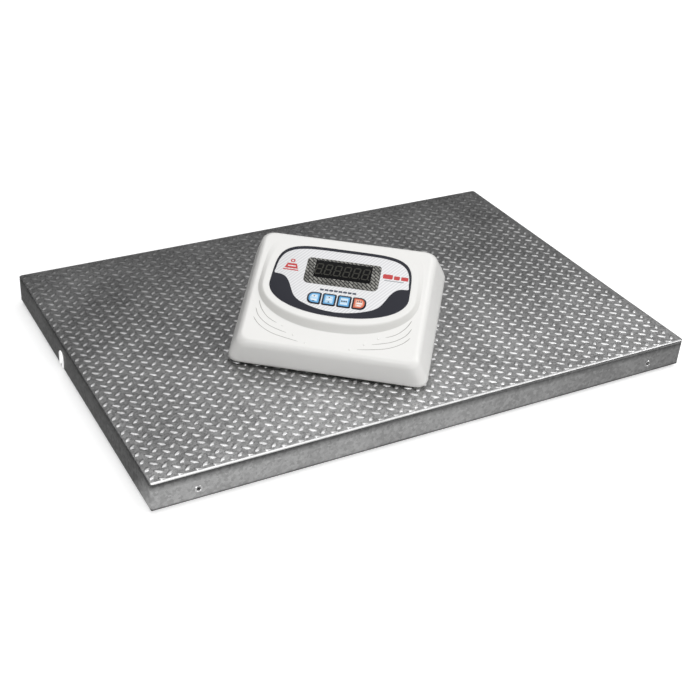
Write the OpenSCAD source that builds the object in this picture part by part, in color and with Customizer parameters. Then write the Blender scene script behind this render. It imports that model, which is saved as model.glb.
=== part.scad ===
// Platform shipping scale: a low steel weighing platform on four load cells,
// with a separate desk-top weight indicator standing on the deck.
// Millimetres. +X runs along the long front edge to the right, +Y to the rear,
// +Z up. The origin is the centre of the platform's footprint, on the floor.
// Name endings: _l length, _w width, _h height, _t thickness, _r radius,
// _d diameter; _x, _y, _z a place along that axis, _at a place as a vector.

/* [Platform] */
// Length of the deck along X
deck_l = 914.4; // [800:0.1:1000]
// Depth of the deck along Y
deck_w = 609.6; // [560:0.1:700]
// Height of the deck's upper face above the floor
deck_top = 52; // [52:0.5:56]
// Thickness of the deck plate
plate_t = 3.2; // [2.5:0.1:4]
// Radius of the platform's upright corners
corner_r = 5; // [3:0.5:8]

/* [Perimeter frame] */
// Height of the folded channel rails
rail_h = 44.3; // [42:0.1:44.5]
// Width of the rails' flanges
flange_w = 30; // [20:1:32]
// Sheet thickness of the rails and deck stiffeners
sheet_t = 3; // [2:0.5:3.5]
// Outside bend radius of the rails and deck stiffeners
bend_r = 4; // [3.6:0.1:5]
// Height of the deck stiffeners
stiffener_h = 34; // [28:1:36]

/* [Ramp holes and cable notch] */
// Distance between the two holes in the front rail
ramp_pitch = 778; // [700:1:860]
// Diameter of the holes in the front rail
ramp_d = 5.5; // [4:0.1:8]
// Height of the holes in the front rail above the floor
ramp_z = 22.5; // [18:0.5:32]
// Distance of the cable notch behind the platform's centre
notch_y = 77.2; // [40:0.1:120]
// Width of the cable notch
notch_w = 16; // [12:1:20]
// Height of the top of the cable notch above the floor
notch_top = 33; // [26:1:36]

/* [Load cells and feet] */
// Length of a load cell
cell_l = 110; // [100:1:120]
// Width of a load cell
cell_w = 24; // [22:1:26]
// Height of a load cell
cell_h = 24; // [24:0.5:25]
// Distance of a foot from the platform's end edges
foot_inset_x = 60; // [56:1:80]
// Distance of a foot from the platform's front and rear edges
foot_inset_y = 60; // [56:1:80]
// Diameter of the rubber sole
sole_d = 44; // [36:1:48]
// Diameter of the foot's thread
thread_d = 10; // [10:0.1:10.05]
// Radial clearance of the thread in its hole
thread_gap = 0.05; // [0.02:0.01:0.08]

/* [Indicator] */
// Width of the indicator's cover at its rim
cover_w = 305; // [295:1:315]
// Length of the cover up its slope
cover_l = 224; // [222:1:236]
// Slope of the indicator's face
tilt = 24; // [22:0.5:26]
// Turn of the indicator on the deck
yaw = -38.3; // [-60:0.1:0]
// Place of the cover's front left corner along X
cover_x = -247.2; // [-260:0.1:-200]
// Place of the cover's front left corner along Y
cover_y = -74.8; // [-90:0.1:-60]
// Height of the front apron above the cover's rim
apron_h = 44; // [42:0.5:46]
// Height of the display pod's face above the cover's rim
face_h = 54; // [54:0.5:56]
// Wall thickness of the mouldings
wall = 2.5; // [2:0.1:3]
// Height of the indicator's rubber feet
rubber_foot_h = 3; // [2:0.5:4]

/* [Keys] */
// Width of one key
key_w = 19; // [17:0.5:20]
// Height of one key
key_h = 20; // [18:0.5:21]
// Pitch of the keys
key_pitch = 23; // [22:0.5:24]
// Travel of a key
key_travel = 0.5; // [0.3:0.1:0.6]

/* [Hidden] */
$fn = 64;
eps = 0.01;                            // smallest overlap or gap
over = 1;                              // overrun of a cutter past a face
plate_z = deck_top - plate_t;          // underside of the deck plate
frame_z = plate_z - rail_h;            // underside of the frame
spacer_t = 5;
cell_top = plate_z - spacer_t;
cell_z = cell_top - cell_h;            // underside of a load cell
cable_z = cell_z + cell_h / 2;         // centre height of cells and cables
foot_x = deck_l / 2 - foot_inset_x;    // foot axis from the centre
foot_y = deck_w / 2 - foot_inset_y;

// ----------------------------------------------------------- shared shapes

// Upright cylinder rising from height z.
module rod(d, h, z = 0) translate([0, 0, z]) cylinder(d = d, h = h);

// Upright hexagonal prism, measured across its flats.
module hex(flats, h, z = 0)
  translate([0, 0, z]) cylinder(d = flats / cos(30), h = h, $fn = 6);

// Cylinder along X, centred on the origin.
module x_rod(d, l) translate([-l / 2, 0, 0]) rotate([0, 90, 0]) cylinder(d = d, h = l);

// Block centred in X and Y, rising from height z.
module block(x, y, h, z = 0) translate([-x / 2, -y / 2, z]) cube([x, y, h]);

// Rectangle with rounded corners, its front left corner on the origin.
module rounded_rect(size, r) {
  translate([r, 0]) square([size[0] - 2 * r, size[1]]);
  translate([0, r]) square([size[0], size[1] - 2 * r]);
  for (x = [r, size[0] - r], y = [r, size[1] - r])
    translate([x, y]) circle(r);
}

// Children at each of a list of [x, y] places.
module at(places) for (p = places) translate([p[0], p[1], 0]) children();

// ---------------------------------------------------------------- platform
stiffener_flange_w = 28;
stiffener_pitch = 152;
cable_hole_y = 200;                    // stiffeners' cable holes, from centre
grommet_lip_t = 1.4;

// Upright block of the platform's outline.
module outline_block(z0, z1) translate([-deck_l / 2, -deck_w / 2, z0])
  linear_extrude(z1 - z0) rounded_rect([deck_l, deck_w], corner_r);

module deck_plate() color("lightgray") outline_block(plate_z, deck_top);

// Channel section: web on the X = 0 line, flanges towards +X.
module channel_2d(h, flange) {
  r = bend_r;
  t = sheet_t;
  difference() {
    union() {
      translate([0, r]) square([flange, h - 2 * r]);
      translate([r, 0]) square([flange - r, h]);
      for (y = [r, h - r]) translate([r, y]) circle(r);
    }
    translate([t, r]) square([flange, h - 2 * r]);
    translate([r, t]) square([flange, h - 2 * t]);
    for (y = [r, h - r]) translate([r, y]) circle(r - t);
  }
}

// Rail of length l along X with its web facing -Y, mitred at both ends.
module rail(l) intersection() {
  translate([-l / 2, 0, 0]) rotate([90, 0, 90])
    linear_extrude(l) channel_2d(rail_h, flange_w);
  linear_extrude(rail_h)
    polygon([[-l / 2, 0], [l / 2, 0], [l / 2 - flange_w, flange_w],
             [-l / 2 + flange_w, flange_w]]);
}

// Rail moved out to its side of the platform, then turned about the centre.
module placed_rail(l, side, turn) intersection() {
  rotate([0, 0, turn]) translate([0, -side, frame_z]) rail(l);
  outline_block(frame_z - over, plate_z);
}

module front_rail() color("gainsboro") difference() {
  placed_rail(deck_l, deck_w / 2, 0);
  for (side = [-1, 1])
    translate([side * ramp_pitch / 2, -deck_w / 2 - over, ramp_z])
      rotate([-90, 0, 0]) cylinder(d = ramp_d, h = sheet_t + 2 * over);
}
module rear_rail() color("gainsboro") placed_rail(deck_l, deck_w / 2, 180);
module right_rail() color("gainsboro") placed_rail(deck_w, deck_l / 2, 90);

// Round-topped block that fills the notch from x0 to x1, its sides and top
// moved out by grow.
module notch_block(grow, x0, x1) {
  w = notch_w + 2 * grow;
  arch_z = notch_top + grow - w / 2;
  translate([x0, notch_y, 0]) rotate([90, 0, 90]) linear_extrude(x1 - x0) {
    translate([-w / 2, 0]) square([w, arch_z]);
    translate([0, arch_z]) circle(w / 2);
  }
}
module left_rail() color("gainsboro") difference() {
  placed_rail(deck_w, deck_l / 2, -90);
  notch_block(0, -deck_l / 2 - over, -deck_l / 2 + flange_w + over);
}

// Rubber edging in the notch: a groove takes the rail's web.
module notch_grommet() color("whitesmoke") {
  outside = -deck_l / 2;
  inside = outside + sheet_t;
  difference() {
    union() {
      notch_block(-0.1, outside, inside);
      notch_block(1.5, outside - grommet_lip_t, outside);
      notch_block(1.5, inside, inside + grommet_lip_t);
    }
    notch_block(-2.5, outside - 3, inside + 3);
    // open below the web's lower bend
    translate([outside - 4, notch_y - 20, -over])
      cube([12, 40, frame_z + bend_r + over]);
  }
}

// Deck stiffener across the platform, with cable holes near both ends.
// Place is -1 for the left one, 0 for the centre and 1 for the right.
module stiffener(place) color("lightgray")
  translate([place * stiffener_pitch - stiffener_flange_w / 2, 0, 0]) difference() {
    translate([0, deck_w / 2 - flange_w - 1, plate_z - stiffener_h])
      rotate([90, 0, 0]) linear_extrude(deck_w - 2 * flange_w - 2)
        channel_2d(stiffener_h, stiffener_flange_w);
    for (side = [-1, 1]) translate([-over, side * cable_hole_y, cable_z])
      rotate([0, 90, 0]) cylinder(d = 14, h = sheet_t + 2 * over);
  }
module stiffener_left() stiffener(-1);
module stiffener_centre() stiffener(0);
module stiffener_right() stiffener(1);

// -------------------------------------------------------------- load cells
cell_end = 12.5;                       // end of a cell to its nearest hole
cell_bolt_pitch = 25;
cell_bolt_d = 8;
bolt_head_h = 5.3;
jam_nut_h = 5;
gauge_x = 33;                          // gauge pockets, from the foot
pocket_d = 18;
pocket_depth = 8;
thread_hole_d = thread_d + 2 * thread_gap;

// Places children at one corner: -1 is left or front, 1 is right or rear. The
// cell runs from its foot at the origin towards the platform's middle along +X.
module corner(side_x, side_y) translate([side_x * foot_x, side_y * foot_y, 0])
  mirror([side_x > 0 ? 1 : 0, 0, 0])
    mirror([0, side_y > 0 ? 1 : 0, 0]) children();
module corners() for (side_x = [-1, 1], side_y = [-1, 1])
  corner(side_x, side_y) children();

// Children at a cell's two bolts.
module at_bolts() for (i = [0, 1])
  translate([cell_l - 2 * cell_end - i * cell_bolt_pitch, 0, 0]) children();

// Children on both sides of a cell, offset from its faces, +Z pointing inwards.
module at_gauges(offset) for (side = [-1, 1])
  translate([gauge_x, side * (cell_w / 2 + offset), cable_z])
    rotate([side * 90, 0, 0]) children();

module cell_spacers() color("darkgray") corners() difference() {
  translate([cell_l - cell_end - 56, -20, cell_top]) cube([60, 40, spacer_t]);
  at_bolts() rod(cell_bolt_d + 0.1, spacer_t + 2 * over, cell_top - over);
}

module load_cell(side_x, side_y) color("lightsteelblue") corner(side_x, side_y)
  difference() {
    translate([-cell_end, -cell_w / 2, cell_z]) cube([cell_l, cell_w, cell_h]);
    rod(thread_hole_d, cell_h + 2 * over, cell_z - over);
    at_bolts() rod(cell_bolt_d + 0.5, cell_h + 2 * over, cell_z - over);
    at_gauges(over) rod(pocket_d, pocket_depth + over);
  }
module load_cell_fl() load_cell(-1, -1);
module load_cell_fr() load_cell(1, -1);
module load_cell_rl() load_cell(-1, 1);
module load_cell_rr() load_cell(1, 1);

// Discs set into the strain-gauge pockets.
module gauge_covers() color("gray") corners() at_gauges(-1) rod(pocket_d - 0.2, 1.5);

// Hex head bolts up through the cell into the spacer.
module cell_bolts() color("dimgray") corners() at_bolts() {
  hex(13, bolt_head_h, cell_z - bolt_head_h);
  rod(cell_bolt_d, cell_h + spacer_t - 0.3, cell_z - eps);
}
module jam_nuts() color("dimgray") corners() difference() {
  hex(16, jam_nut_h, cell_z - jam_nut_h);
  rod(thread_hole_d, jam_nut_h + 2 * over, cell_z - jam_nut_h - over);
}

// -------------------------------------------------------------------- feet
sole_t = 2;
pad_t = 2;                             // flat rim of the pad
ball_z = 6.6;
ball_r = 3.2;
stem_hex_z = 9.6;
stem_thread_z = 14;

// Stem: ball, neck, hexagon and thread.
module foot_stem(side_x, side_y) color("silver") corner(side_x, side_y) union() {
  translate([0, 0, ball_z]) sphere(ball_r);
  rod(4, stem_hex_z - ball_z + 0.5, ball_z);
  hex(14, 4.6, stem_hex_z);
  rod(thread_d, cell_top - stem_thread_z - 0.8, stem_thread_z);
}
// Pad: rim, cone and a socket for the stem's ball.
module foot_pad(side_x, side_y) color("silver") corner(side_x, side_y) difference() {
  union() {
    rod(sole_d - 1, pad_t, sole_t);
    translate([0, 0, sole_t + pad_t - eps]) cylinder(r1 = 16, r2 = 8, h = 2.6 + eps);
    rod(13, 6.6, sole_t);
  }
  translate([0, 0, ball_z]) sphere(ball_r + 0.05);
}
module foot_sole(side_x, side_y) color("#222222") corner(side_x, side_y)
  cylinder(d = sole_d, h = sole_t);

module foot_stem_fl() foot_stem(-1, -1);
module foot_stem_fr() foot_stem(1, -1);
module foot_stem_rl() foot_stem(-1, 1);
module foot_stem_rr() foot_stem(1, 1);
module foot_pad_fl() foot_pad(-1, -1);
module foot_pad_fr() foot_pad(1, -1);
module foot_pad_rl() foot_pad(-1, 1);
module foot_pad_rr() foot_pad(1, 1);
module foot_sole_fl() foot_sole(-1, -1);
module foot_sole_fr() foot_sole(1, -1);
module foot_sole_rl() foot_sole(-1, 1);
module foot_sole_rr() foot_sole(1, 1);

// ------------------------------------------------------------ junction box
jbox_x = -345;                         // left side
jbox_front = 40;
jbox_l = 110;
jbox_w = 75;
jbox_rear = jbox_front + jbox_w;
jbox_z = 21;                           // open underside, closed by the lid
jbox_h = plate_z - jbox_z;
jbox_wall = 2.5;
jbox_roof_t = 3;
lid_t = 3;
lid_z = jbox_z - lid_t;
lid_screws = [for (x = [6, jbox_l - 6], y = [6, jbox_w - 6]) [jbox_x + x, jbox_front + y]];
gland_x = [for (x = [18, jbox_l / 2, jbox_l - 18]) jbox_x + x];
gland_l = 12;                          // outside the box
gland_hex_h = 4;
gland_tail_l = 5;                      // through the wall
cell_cable_d = 5;
signal_gland_d = 6;
board_inset = 14;
summing_z = plate_z - 8.6;             // underside of the summing board
terminal = [13, 10, 10];

// Children at gland i of the front (-1) or rear (1) wall, +Z pointing outwards.
module at_gland(i, side)
  translate([gland_x[i], side < 0 ? jbox_front : jbox_rear, cable_z])
    rotate([-90 * side, 0, 0]) children();
module at_cell_glands() for (i = [0, 2], side = [-1, 1]) at_gland(i, side) children();
module at_signal_gland() at_gland(1, -1) children();

module junction_box() color("slategray") difference() {
  translate([jbox_x, jbox_front, jbox_z]) cube([jbox_l, jbox_w, jbox_h]);
  translate([jbox_x + jbox_wall, jbox_front + jbox_wall, jbox_z - over])
    cube([jbox_l - 2 * jbox_wall, jbox_w - 2 * jbox_wall, jbox_h - jbox_roof_t + over]);
  at_cell_glands() rod(10, 5, -4);
  at_signal_gland() rod(10, 5, -4);
}
module junction_lid() color("slategray") difference() {
  translate([jbox_x - 1, jbox_front - 1, lid_z]) cube([jbox_l + 2, jbox_w + 2, lid_t]);
  at(lid_screws) rod(4.4, lid_t + 2 * over, lid_z - over);
}
// Lid screws, each with its standoff post inside the box.
module junction_screws() color("silver") at(lid_screws) {
  rod(7, 2, lid_z - 2);
  rod(4, 4, lid_z - eps);
  rod(5.6, jbox_h - jbox_roof_t, jbox_z);
}

// Cable gland: hexagon and round body outside, tail through the wall.
module gland(cable_d) difference() {
  union() {
    hex(17, gland_hex_h);
    rod(14, gland_l - gland_hex_h, gland_hex_h - eps);
    rod(9.9, gland_tail_l + eps, -gland_tail_l);
  }
  rod(cable_d + 0.1, gland_l + 8, -gland_tail_l - over);
}
module cable_glands() color("#333333") {
  at_cell_glands() gland(cell_cable_d);
  at_signal_gland() gland(signal_gland_d);
}
module summing_board() color("green")
  translate([jbox_x + board_inset, jbox_front + board_inset, summing_z])
    cube([jbox_l - 2 * board_inset, jbox_w - 2 * board_inset, 1.6]);
// Five blocks in a row under the board.
module terminal_blocks() color("seagreen") for (i = [0 : 4])
  translate([jbox_x + 17 + i * 15.5, jbox_front + (jbox_w - terminal[1]) / 2,
             summing_z - terminal[2]]) cube(terminal);

// ------------------------------------------------------------------ cables
cell_inner_x = foot_x - cell_l + cell_end;   // a cell's inner end, from centre
signal_cable_d = 5.8;
coil_x = -270;
coil_y = -95;
coil_r = 62;                           // centre line of the inner turns
turn_pitch = 5.6;                      // across and up
coil_z = cable_z + turn_pitch / 2;
tie_opening = [14, 12.6];
tie_t = 1.3;
tie_w = 4;
plug_x = coil_x + 30;
plug_y = coil_y - coil_r - 24;
// Lengths along the plug: narrow back, wide body, open nose.
plug_back_l = 14;
plug_body_l = 16;
plug_nose_l = 7;

function unit(v) = v / norm(v);
function heading(v) = atan2(v[1], v[0]);

// Large slab turned so that its +X follows the normal, from x to x + 2000.
module cable_slab(place, normal, x) translate(place) rotate([0, 0, heading(normal)])
  translate([x, -1000, -20]) cube([2000, 2000, 40]);

// Round cable at height cable_z through a list of [x, y], mitred at each bend.
module cable(route, d) {
  path = [for (p = route) [p[0], p[1], cable_z]];
  last = len(path) - 2;
  for (i = [0 : last]) {
    start = path[i];
    end = path[i + 1];
    along = unit(end - start);
    start_normal = i == 0 ? along : unit(along + unit(start - path[i - 1]));
    end_normal = i == last ? along : unit(along + unit(path[i + 2] - end));
    intersection() {
      translate(start - along * 2 * d) rotate([0, 90, heading(along)])
        cylinder(d = d, h = norm(end - start) + 4 * d, $fn = 32);
      cable_slab(start, start_normal, 0);
      cable_slab(end, end_normal, -2000);
    }
  }
}

// [x, y] points from each load cell's inner end to its gland.
front_left_route = [
  [-cell_inner_x, -foot_y], [-cell_inner_x + 14, -foot_y], [-cell_inner_x + 30, -205],
  [-355, -170], [-355, -10], [gland_x[0], 20], [gland_x[0], jbox_front + 6]];
front_right_route = [
  [cell_inner_x, -foot_y], [cell_inner_x - 14, -foot_y],
  [cell_inner_x - 40, -cable_hole_y], [-176, -cable_hole_y],
  [-186, -cable_hole_y + 14], [-186, -8], [gland_x[2], 16], [gland_x[2], jbox_front + 6]];
rear_left_route = [
  [-cell_inner_x, foot_y], [-cell_inner_x + 12, foot_y], [-cell_inner_x + 21, 235],
  [-cell_inner_x + 21, 221], [-cell_inner_x + 9, 206],
  [gland_x[0], 189], [gland_x[0], jbox_rear - 6]];
rear_right_route = [
  [cell_inner_x, foot_y], [cell_inner_x - 14, foot_y],
  [cell_inner_x - 40, cable_hole_y], [-172, cable_hole_y],
  [gland_x[2], 170], [gland_x[2], jbox_rear - 6]];

module cell_cables() color("#2b2b2b")
  for (route = [front_left_route, front_right_route, rear_left_route, rear_right_route])
    cable(route, cell_cable_d);

// Stowed lead to the indicator: from its gland into a flat coil, to the plug.
module signal_cable() color("#2b2b2b") {
  translate([coil_x, coil_y, coil_z]) rotate_extrude() {
    for (x = [0, turn_pitch], z = [-turn_pitch / 2, turn_pitch / 2])
      translate([coil_r + x, z]) circle(d = 6);
    translate([coil_r, -turn_pitch / 2]) square([turn_pitch, turn_pitch]);
  }
  cable([[gland_x[1], jbox_front + 6], [gland_x[1], 14],
         [coil_x, 0], [coil_x, coil_y + coil_r + 3]], signal_cable_d);
  cable([[coil_x, coil_y - coil_r - 3], [coil_x, coil_y - coil_r - 18],
         [coil_x + 14, plug_y], [plug_x, plug_y]], signal_cable_d);
}
module cable_plug() color("silver")
  translate([plug_x, plug_y, cable_z]) rotate([0, 90, 0]) difference() {
    union() {
      rod(11, plug_back_l);
      rod(15.6, plug_body_l, plug_back_l - eps);
      rod(12.2, plug_nose_l, plug_back_l + plug_body_l - 2 * eps);
    }
    rod(10.4, plug_nose_l + 2 * over, plug_back_l + plug_body_l - over);
  }
// Loops round the coil's section, solid above it up to the deck plate.
module coil_ties() color("#1c1c1c") for (angle = [20, 200, 290])
  translate([coil_x, coil_y, coil_z]) rotate([0, 0, angle])
    translate([coil_r + turn_pitch / 2, 0, 0])
      rotate([90, 0, 0]) translate([0, 0, -tie_w / 2]) difference() {
        translate([-tie_opening[0] / 2 - tie_t, -tie_opening[1] / 2 - tie_t])
          cube([tie_opening[0] + 2 * tie_t,
                plate_z - coil_z + tie_opening[1] / 2 + tie_t, tie_w]);
        translate([-tie_opening[0] / 2, -tie_opening[1] / 2, -over])
          cube([tie_opening[0], tie_opening[1], tie_w + 2 * over]);
      }

// -------------------------------------------------------- indicator layout
// base(): the indicator's own level frame, its origin under the cover's front
// left corner at the underside of the lower housing. face(): the same frame
// sloped with the cover, so Z = 0 is the rim and +Z stands off the face.
module base() translate([cover_x, cover_y, deck_top + rubber_foot_h])
  rotate([0, 0, yaw]) children();
module face() base() rotate([tilt, 0, 0]) children();

side_lean = 17;                        // inward lean of the cover's walls
front_lean = 8;
rear_lean = 6;
rim_r = 16;
fillet = 7;
mid_x = cover_w / 2;

// Display pod's outline: superellipse halves about its centre.
pod_half_w = 107;
pod_y = 119;
pod_low = 50.5;                        // reach below and above the centre
pod_up = 77;
low_power = 2.15;
up_power = 4.7;
pod_taper = 0.02;                      // narrowing at the top of the arch

key_y = 98;                            // centre line of the keys
key_x = [for (i = [0 : 3]) mid_x + (i - 1.5) * key_pitch];
key_gap = 0.3;
key_flange_z = face_h - 3.8;           // underside of a key's flange
window = [88, 33];
window_y = 154;                        // its centre line
digit_pitch = 14.5;
pcb_t = 1.6;
pcb_z = face_h - 10;                   // component side of the main board
switch_h = 3.6;                        // body of a key switch

// Lower housing's wedge, in the level frame.
wedge_inset = 14;
wedge_front = 12;
rear_y = cover_l * cos(tilt) - 14;     // outside of its rear wall
rim_inset = 4.4;                       // flange inside the cover's rim

// The same place on the left and on the right of the indicator.
function both_sides(x, y) = [[x, y], [cover_w - x, y]];
board_posts = concat(both_sides(62, 88), both_sides(66, 162));
screw_posts = concat(both_sides(11, 40), both_sides(11, 178));
rubber_feet = concat(both_sides(34, 34), both_sides(34, rear_y - 22));

// ------------------------------------------------------ indicator housings

// Solid form of the cover, shrunk on every side by inset.
module cover_form(inset) hull() {
  r = rim_r - inset;
  for (x = [rim_r, cover_w - rim_r], y = [rim_r, cover_l - rim_r])
    translate([x, y, inset > 0 ? -over : 0]) cylinder(r = r, h = 1.5, $fn = 48);
  for (x = [side_lean + rim_r, cover_w - side_lean - rim_r])
    for (edge = [[front_lean + rim_r, apron_h], [cover_l - rear_lean - rim_r, face_h]])
      translate([x, edge[0], edge[1] - fillet]) rotate_extrude($fn = 48)
        translate([r - (fillet - inset), 0]) intersection() {
          circle(fillet - inset, $fn = 32);
          square([fillet, fillet]);
        }
}

function signed_power(v, power) = sign(v) * pow(abs(v), power);
function pod_point(angle, grow) = let (
  up = sin(angle) > 0,
  power = 2 / (up ? up_power : low_power),
  reach = (up ? pod_up : pod_low) + grow,
  y = reach * signed_power(sin(angle), power),
  taper = up ? 1 - pod_taper * y / reach : 1,
  x = (pod_half_w + grow) * signed_power(cos(angle), power) * taper)
  [mid_x + x, pod_y + y];

// Outline of the display pod and its label: a wide arch over a full belly.
module pod_2d(grow) polygon([for (i = [0 : 95]) pod_point(i * 3.75 + 1.2, grow)]);

// Raised pod: its skirt slopes out to the apron, and its top spreads back
// towards the cover's rear edge.
module pod_form(inset) hull() {
  translate([0, 0, face_h - 1.5 - inset]) linear_extrude(1.5) pod_2d(9 - inset);
  translate([0, 0, apron_h - 6]) linear_extrude(1) pod_2d(20 - inset);
  for (x = [60, cover_w - 60]) translate([x, cover_l - 40, face_h - 6 - inset])
    cylinder(r = 26 - inset, h = 6, $fn = 48);
}

// Cutter for the window and the keys, rising from height z.
module face_openings(z, h) {
  translate([mid_x, window_y, 0]) block(window[0], window[1], h, z);
  for (x = key_x) translate([x, key_y, 0]) block(key_w, key_h, h, z);
}

module upper_housing() color("ghostwhite") face() difference() {
  union() {
    difference() {
      union() {
        cover_form(0);
        pod_form(0);
      }
      cover_form(wall);
      pod_form(wall);
    }
    // board posts, hanging from the roof
    at(board_posts) rod(7, face_h - pcb_z - 1, pcb_z);
    // posts for the housing screws
    at(screw_posts) rod(7, 11.5, 3.1);
  }
  at(board_posts) rod(3.1, 7, pcb_z - over);
  at(screw_posts) rod(3.1, 9.5, 2);
  face_openings(face_h - 6, 8);
}

// Wedge under the cover, shrunk by inset; the shrunk one is open at the top.
module wedge_form(inset) intersection() {
  translate([0, 0, inset]) linear_extrude(140)
    translate([wedge_inset + inset, wedge_front + inset])
      rounded_rect([cover_w - 2 * (wedge_inset + inset), rear_y - wedge_front - 2 * inset],
                   12 - inset);
  rotate([tilt, 0, 0]) translate([-10, -100, -200])
    cube([cover_w + 20, 500, inset > 0 ? 210 : 203]);
}

// Fittings in the rear wall: [across, height].
socket_at = [70, 46];
jack_at = [110, 46];
switch_at = [232, 50];

// Children on the rear wall, in the level frame: +Z outwards, +Y down.
module at_rear(place)
  translate([place[0], rear_y, place[1]]) rotate([-90, 0, 0]) children();

// Moulded base: a flange closes the cover's rim, and a recessed wedge under
// it carries the slope down to the deck.
module lower_housing() color("ghostwhite") base() difference() {
  union() {
    wedge_form(0);
    rotate([tilt, 0, 0]) translate([rim_inset, rim_inset, 0.6]) linear_extrude(2.4)
      rounded_rect([cover_w - 2 * rim_inset, cover_l - 2 * rim_inset], 11);
  }
  wedge_form(wall);
  rotate([tilt, 0, 0]) at(screw_posts) rod(3.4, 6, -over);
  at_rear(socket_at) rod(16, 10, -5);
  at_rear(jack_at) rod(11, 10, -5);
  at_rear(switch_at) block(14.2, 20.2, 10, -5);
  at(rubber_feet) rod(5, 5, -over);
}

module housing_screws() color("silver") face() at(screw_posts) {
  rod(6, 2, -1.4);
  rod(3, 10, 0.5);
}
// Rubber feet, each with a stem through the floor and a button above it.
module indicator_feet() color("#222222") base() at(rubber_feet) {
  rod(18, rubber_foot_h, -rubber_foot_h);
  rod(4.9, wall + eps, -eps);
  rod(7, 1.2, wall);
}

// -------------------------------------------------------- display and keys

module face_overlay() color("gainsboro") face() difference() {
  translate([0, 0, face_h]) linear_extrude(0.6) pod_2d(0);
  face_openings(face_h - over, 3);
}
module display_window() color([0.1, 0.1, 0.12, 0.8]) face()
  translate([mid_x, window_y, 0]) block(window[0] - 0.2, window[1] - 0.2, 2.3, face_h - 2);
// Six-digit display module on the main board.
module digit_display() color("#1a1a1a") face() for (i = [0 : 5])
  translate([mid_x + (i - 2.5) * digit_pitch, window_y, 0])
    block(digit_pitch - 0.2, 24.8, 7.8, pcb_z + eps);

// Key i from the left, with a wider flange behind the face.
module key(i, tint) color(tint) face() translate([key_x[i], key_y, 0]) {
  w = key_w - 2 * key_gap;
  h = key_h - 2 * key_gap;
  block(w, h, 4.2, face_h - 3.2);
  block(w + 2.4, h + 2.4, 1.2, key_flange_z);
}
module key_zero() key(0, "skyblue");
module key_tare() key(1, "skyblue");
module key_hold() key(2, "skyblue");
module key_power() key(3, "orangered");
// Tact switches under the keys, their plungers 0.1 more than the travel away.
module key_switches() color("#111111") face() for (x = key_x)
  translate([x, key_y, pcb_z + eps]) {
    block(12, 12, switch_h);
    rod(6.6, key_flange_z - pcb_z - switch_h - key_travel - 0.1, switch_h - eps);
  }
module main_board() color("darkgreen") face() difference() {
  translate([54, 80, pcb_z - pcb_t]) cube([cover_w - 2 * 54, 92, pcb_t]);
  at(board_posts) rod(3.4, 5, pcb_z - 3);
}
module board_screws() color("silver") face() at(board_posts) {
  rod(6, 2, pcb_z - pcb_t - 2);
  rod(3, 7, pcb_z - pcb_t - eps);
}

// ----------------------------------------------------------------- battery
battery_x = 102;
battery_y = 96;
battery_size = [101, 70, 45];
strap_foot_l = 14;                     // reach of a foot beside the battery
strap_t = 1.6;                         // outer face to the battery's side
strap_gap = 0.2;

// Battery with two upright terminals.
module battery() color("dimgray") base() translate([battery_x, battery_y, wall]) {
  translate([0, 0, eps]) cube(battery_size);
  for (x = [14, 26]) translate([x, 8, battery_size[2] - eps]) cube([0.8, 4.8, 5]);
}
// Strap over the battery, with a flat foot on each side.
module battery_strap() color("silver") base()
  translate([battery_x, battery_y, wall]) difference() {
    translate([-strap_foot_l, 28, eps])
      cube([battery_size[0] + 2 * strap_foot_l, 18, battery_size[2] + 1.6]);
    translate([-strap_gap, 20, -over])
      cube([battery_size[0] + 2 * strap_gap, 40, battery_size[2] + 0.4 + over]);
    for (x = [-20, battery_size[0] + strap_t])
      translate([x, 20, 1.5]) cube([20 - strap_t, 40, 60]);
  }

// ----------------------------------------------------------- rear fittings
rocker_w = 10.8;
rocker_d = 16.8;
pivot_z = -3;                          // rocker's axis, inside the rear wall
pivot_d = 2;
pivot_l = 12.8;
// Rocker's side outline: [along the switch, outwards].
rocker_outline = [[-9, -2.2], [-9, 6.6], [0, 5.2], [9, 6.6], [9, -2.2]];

// Round load-cell connector: barrel, with five pins on a recessed face.
module cell_socket() color("silver") base() at_rear(socket_at) {
  difference() {
    union() {
      rod(20, 1.6);
      rod(15.9, 10 + eps, -10);
      rod(15.2, 8, 1.6 - eps);
    }
    rod(12.6, 12);
  }
  for (angle = [0 : 72 : 359]) rotate([0, 0, angle])
    translate([3.8, 0, 0]) rod(1.2, 6, -eps);
}
// Flanged barrel with a centre pin.
module power_jack() color("#222222") base() at_rear(jack_at) {
  difference() {
    union() {
      rod(14, 1.5);
      rod(10.9, 12 + eps, -12);
    }
    rod(6.3, 12, -9);
  }
  rod(2, 8.5, -9 - eps);
}
// Rocker switch: the frame sits in the rear wall, the rocker turns on two
// stub pins across it.
module switch_frame() color("#1c1c1c") base() at_rear(switch_at) difference() {
  union() {
    block(18, 24, 1.6);
    block(14, 20, 14 + eps, -14);
  }
  block(11.2, 17.6, 16, -12);
  translate([0, 0, pivot_z]) x_rod(pivot_d + 0.1, pivot_l + 0.4);
}
module power_rocker() color("#b02020") base() at_rear(switch_at)
  translate([0, 0, pivot_z]) rotate([-9, 0, 0]) {
    intersection() {
      x_rod(rocker_d, rocker_w);
      rotate([90, 0, 90]) translate([0, 0, -6]) linear_extrude(12) polygon(rocker_outline);
    }
    x_rod(pivot_d, pivot_l);
  }

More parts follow.
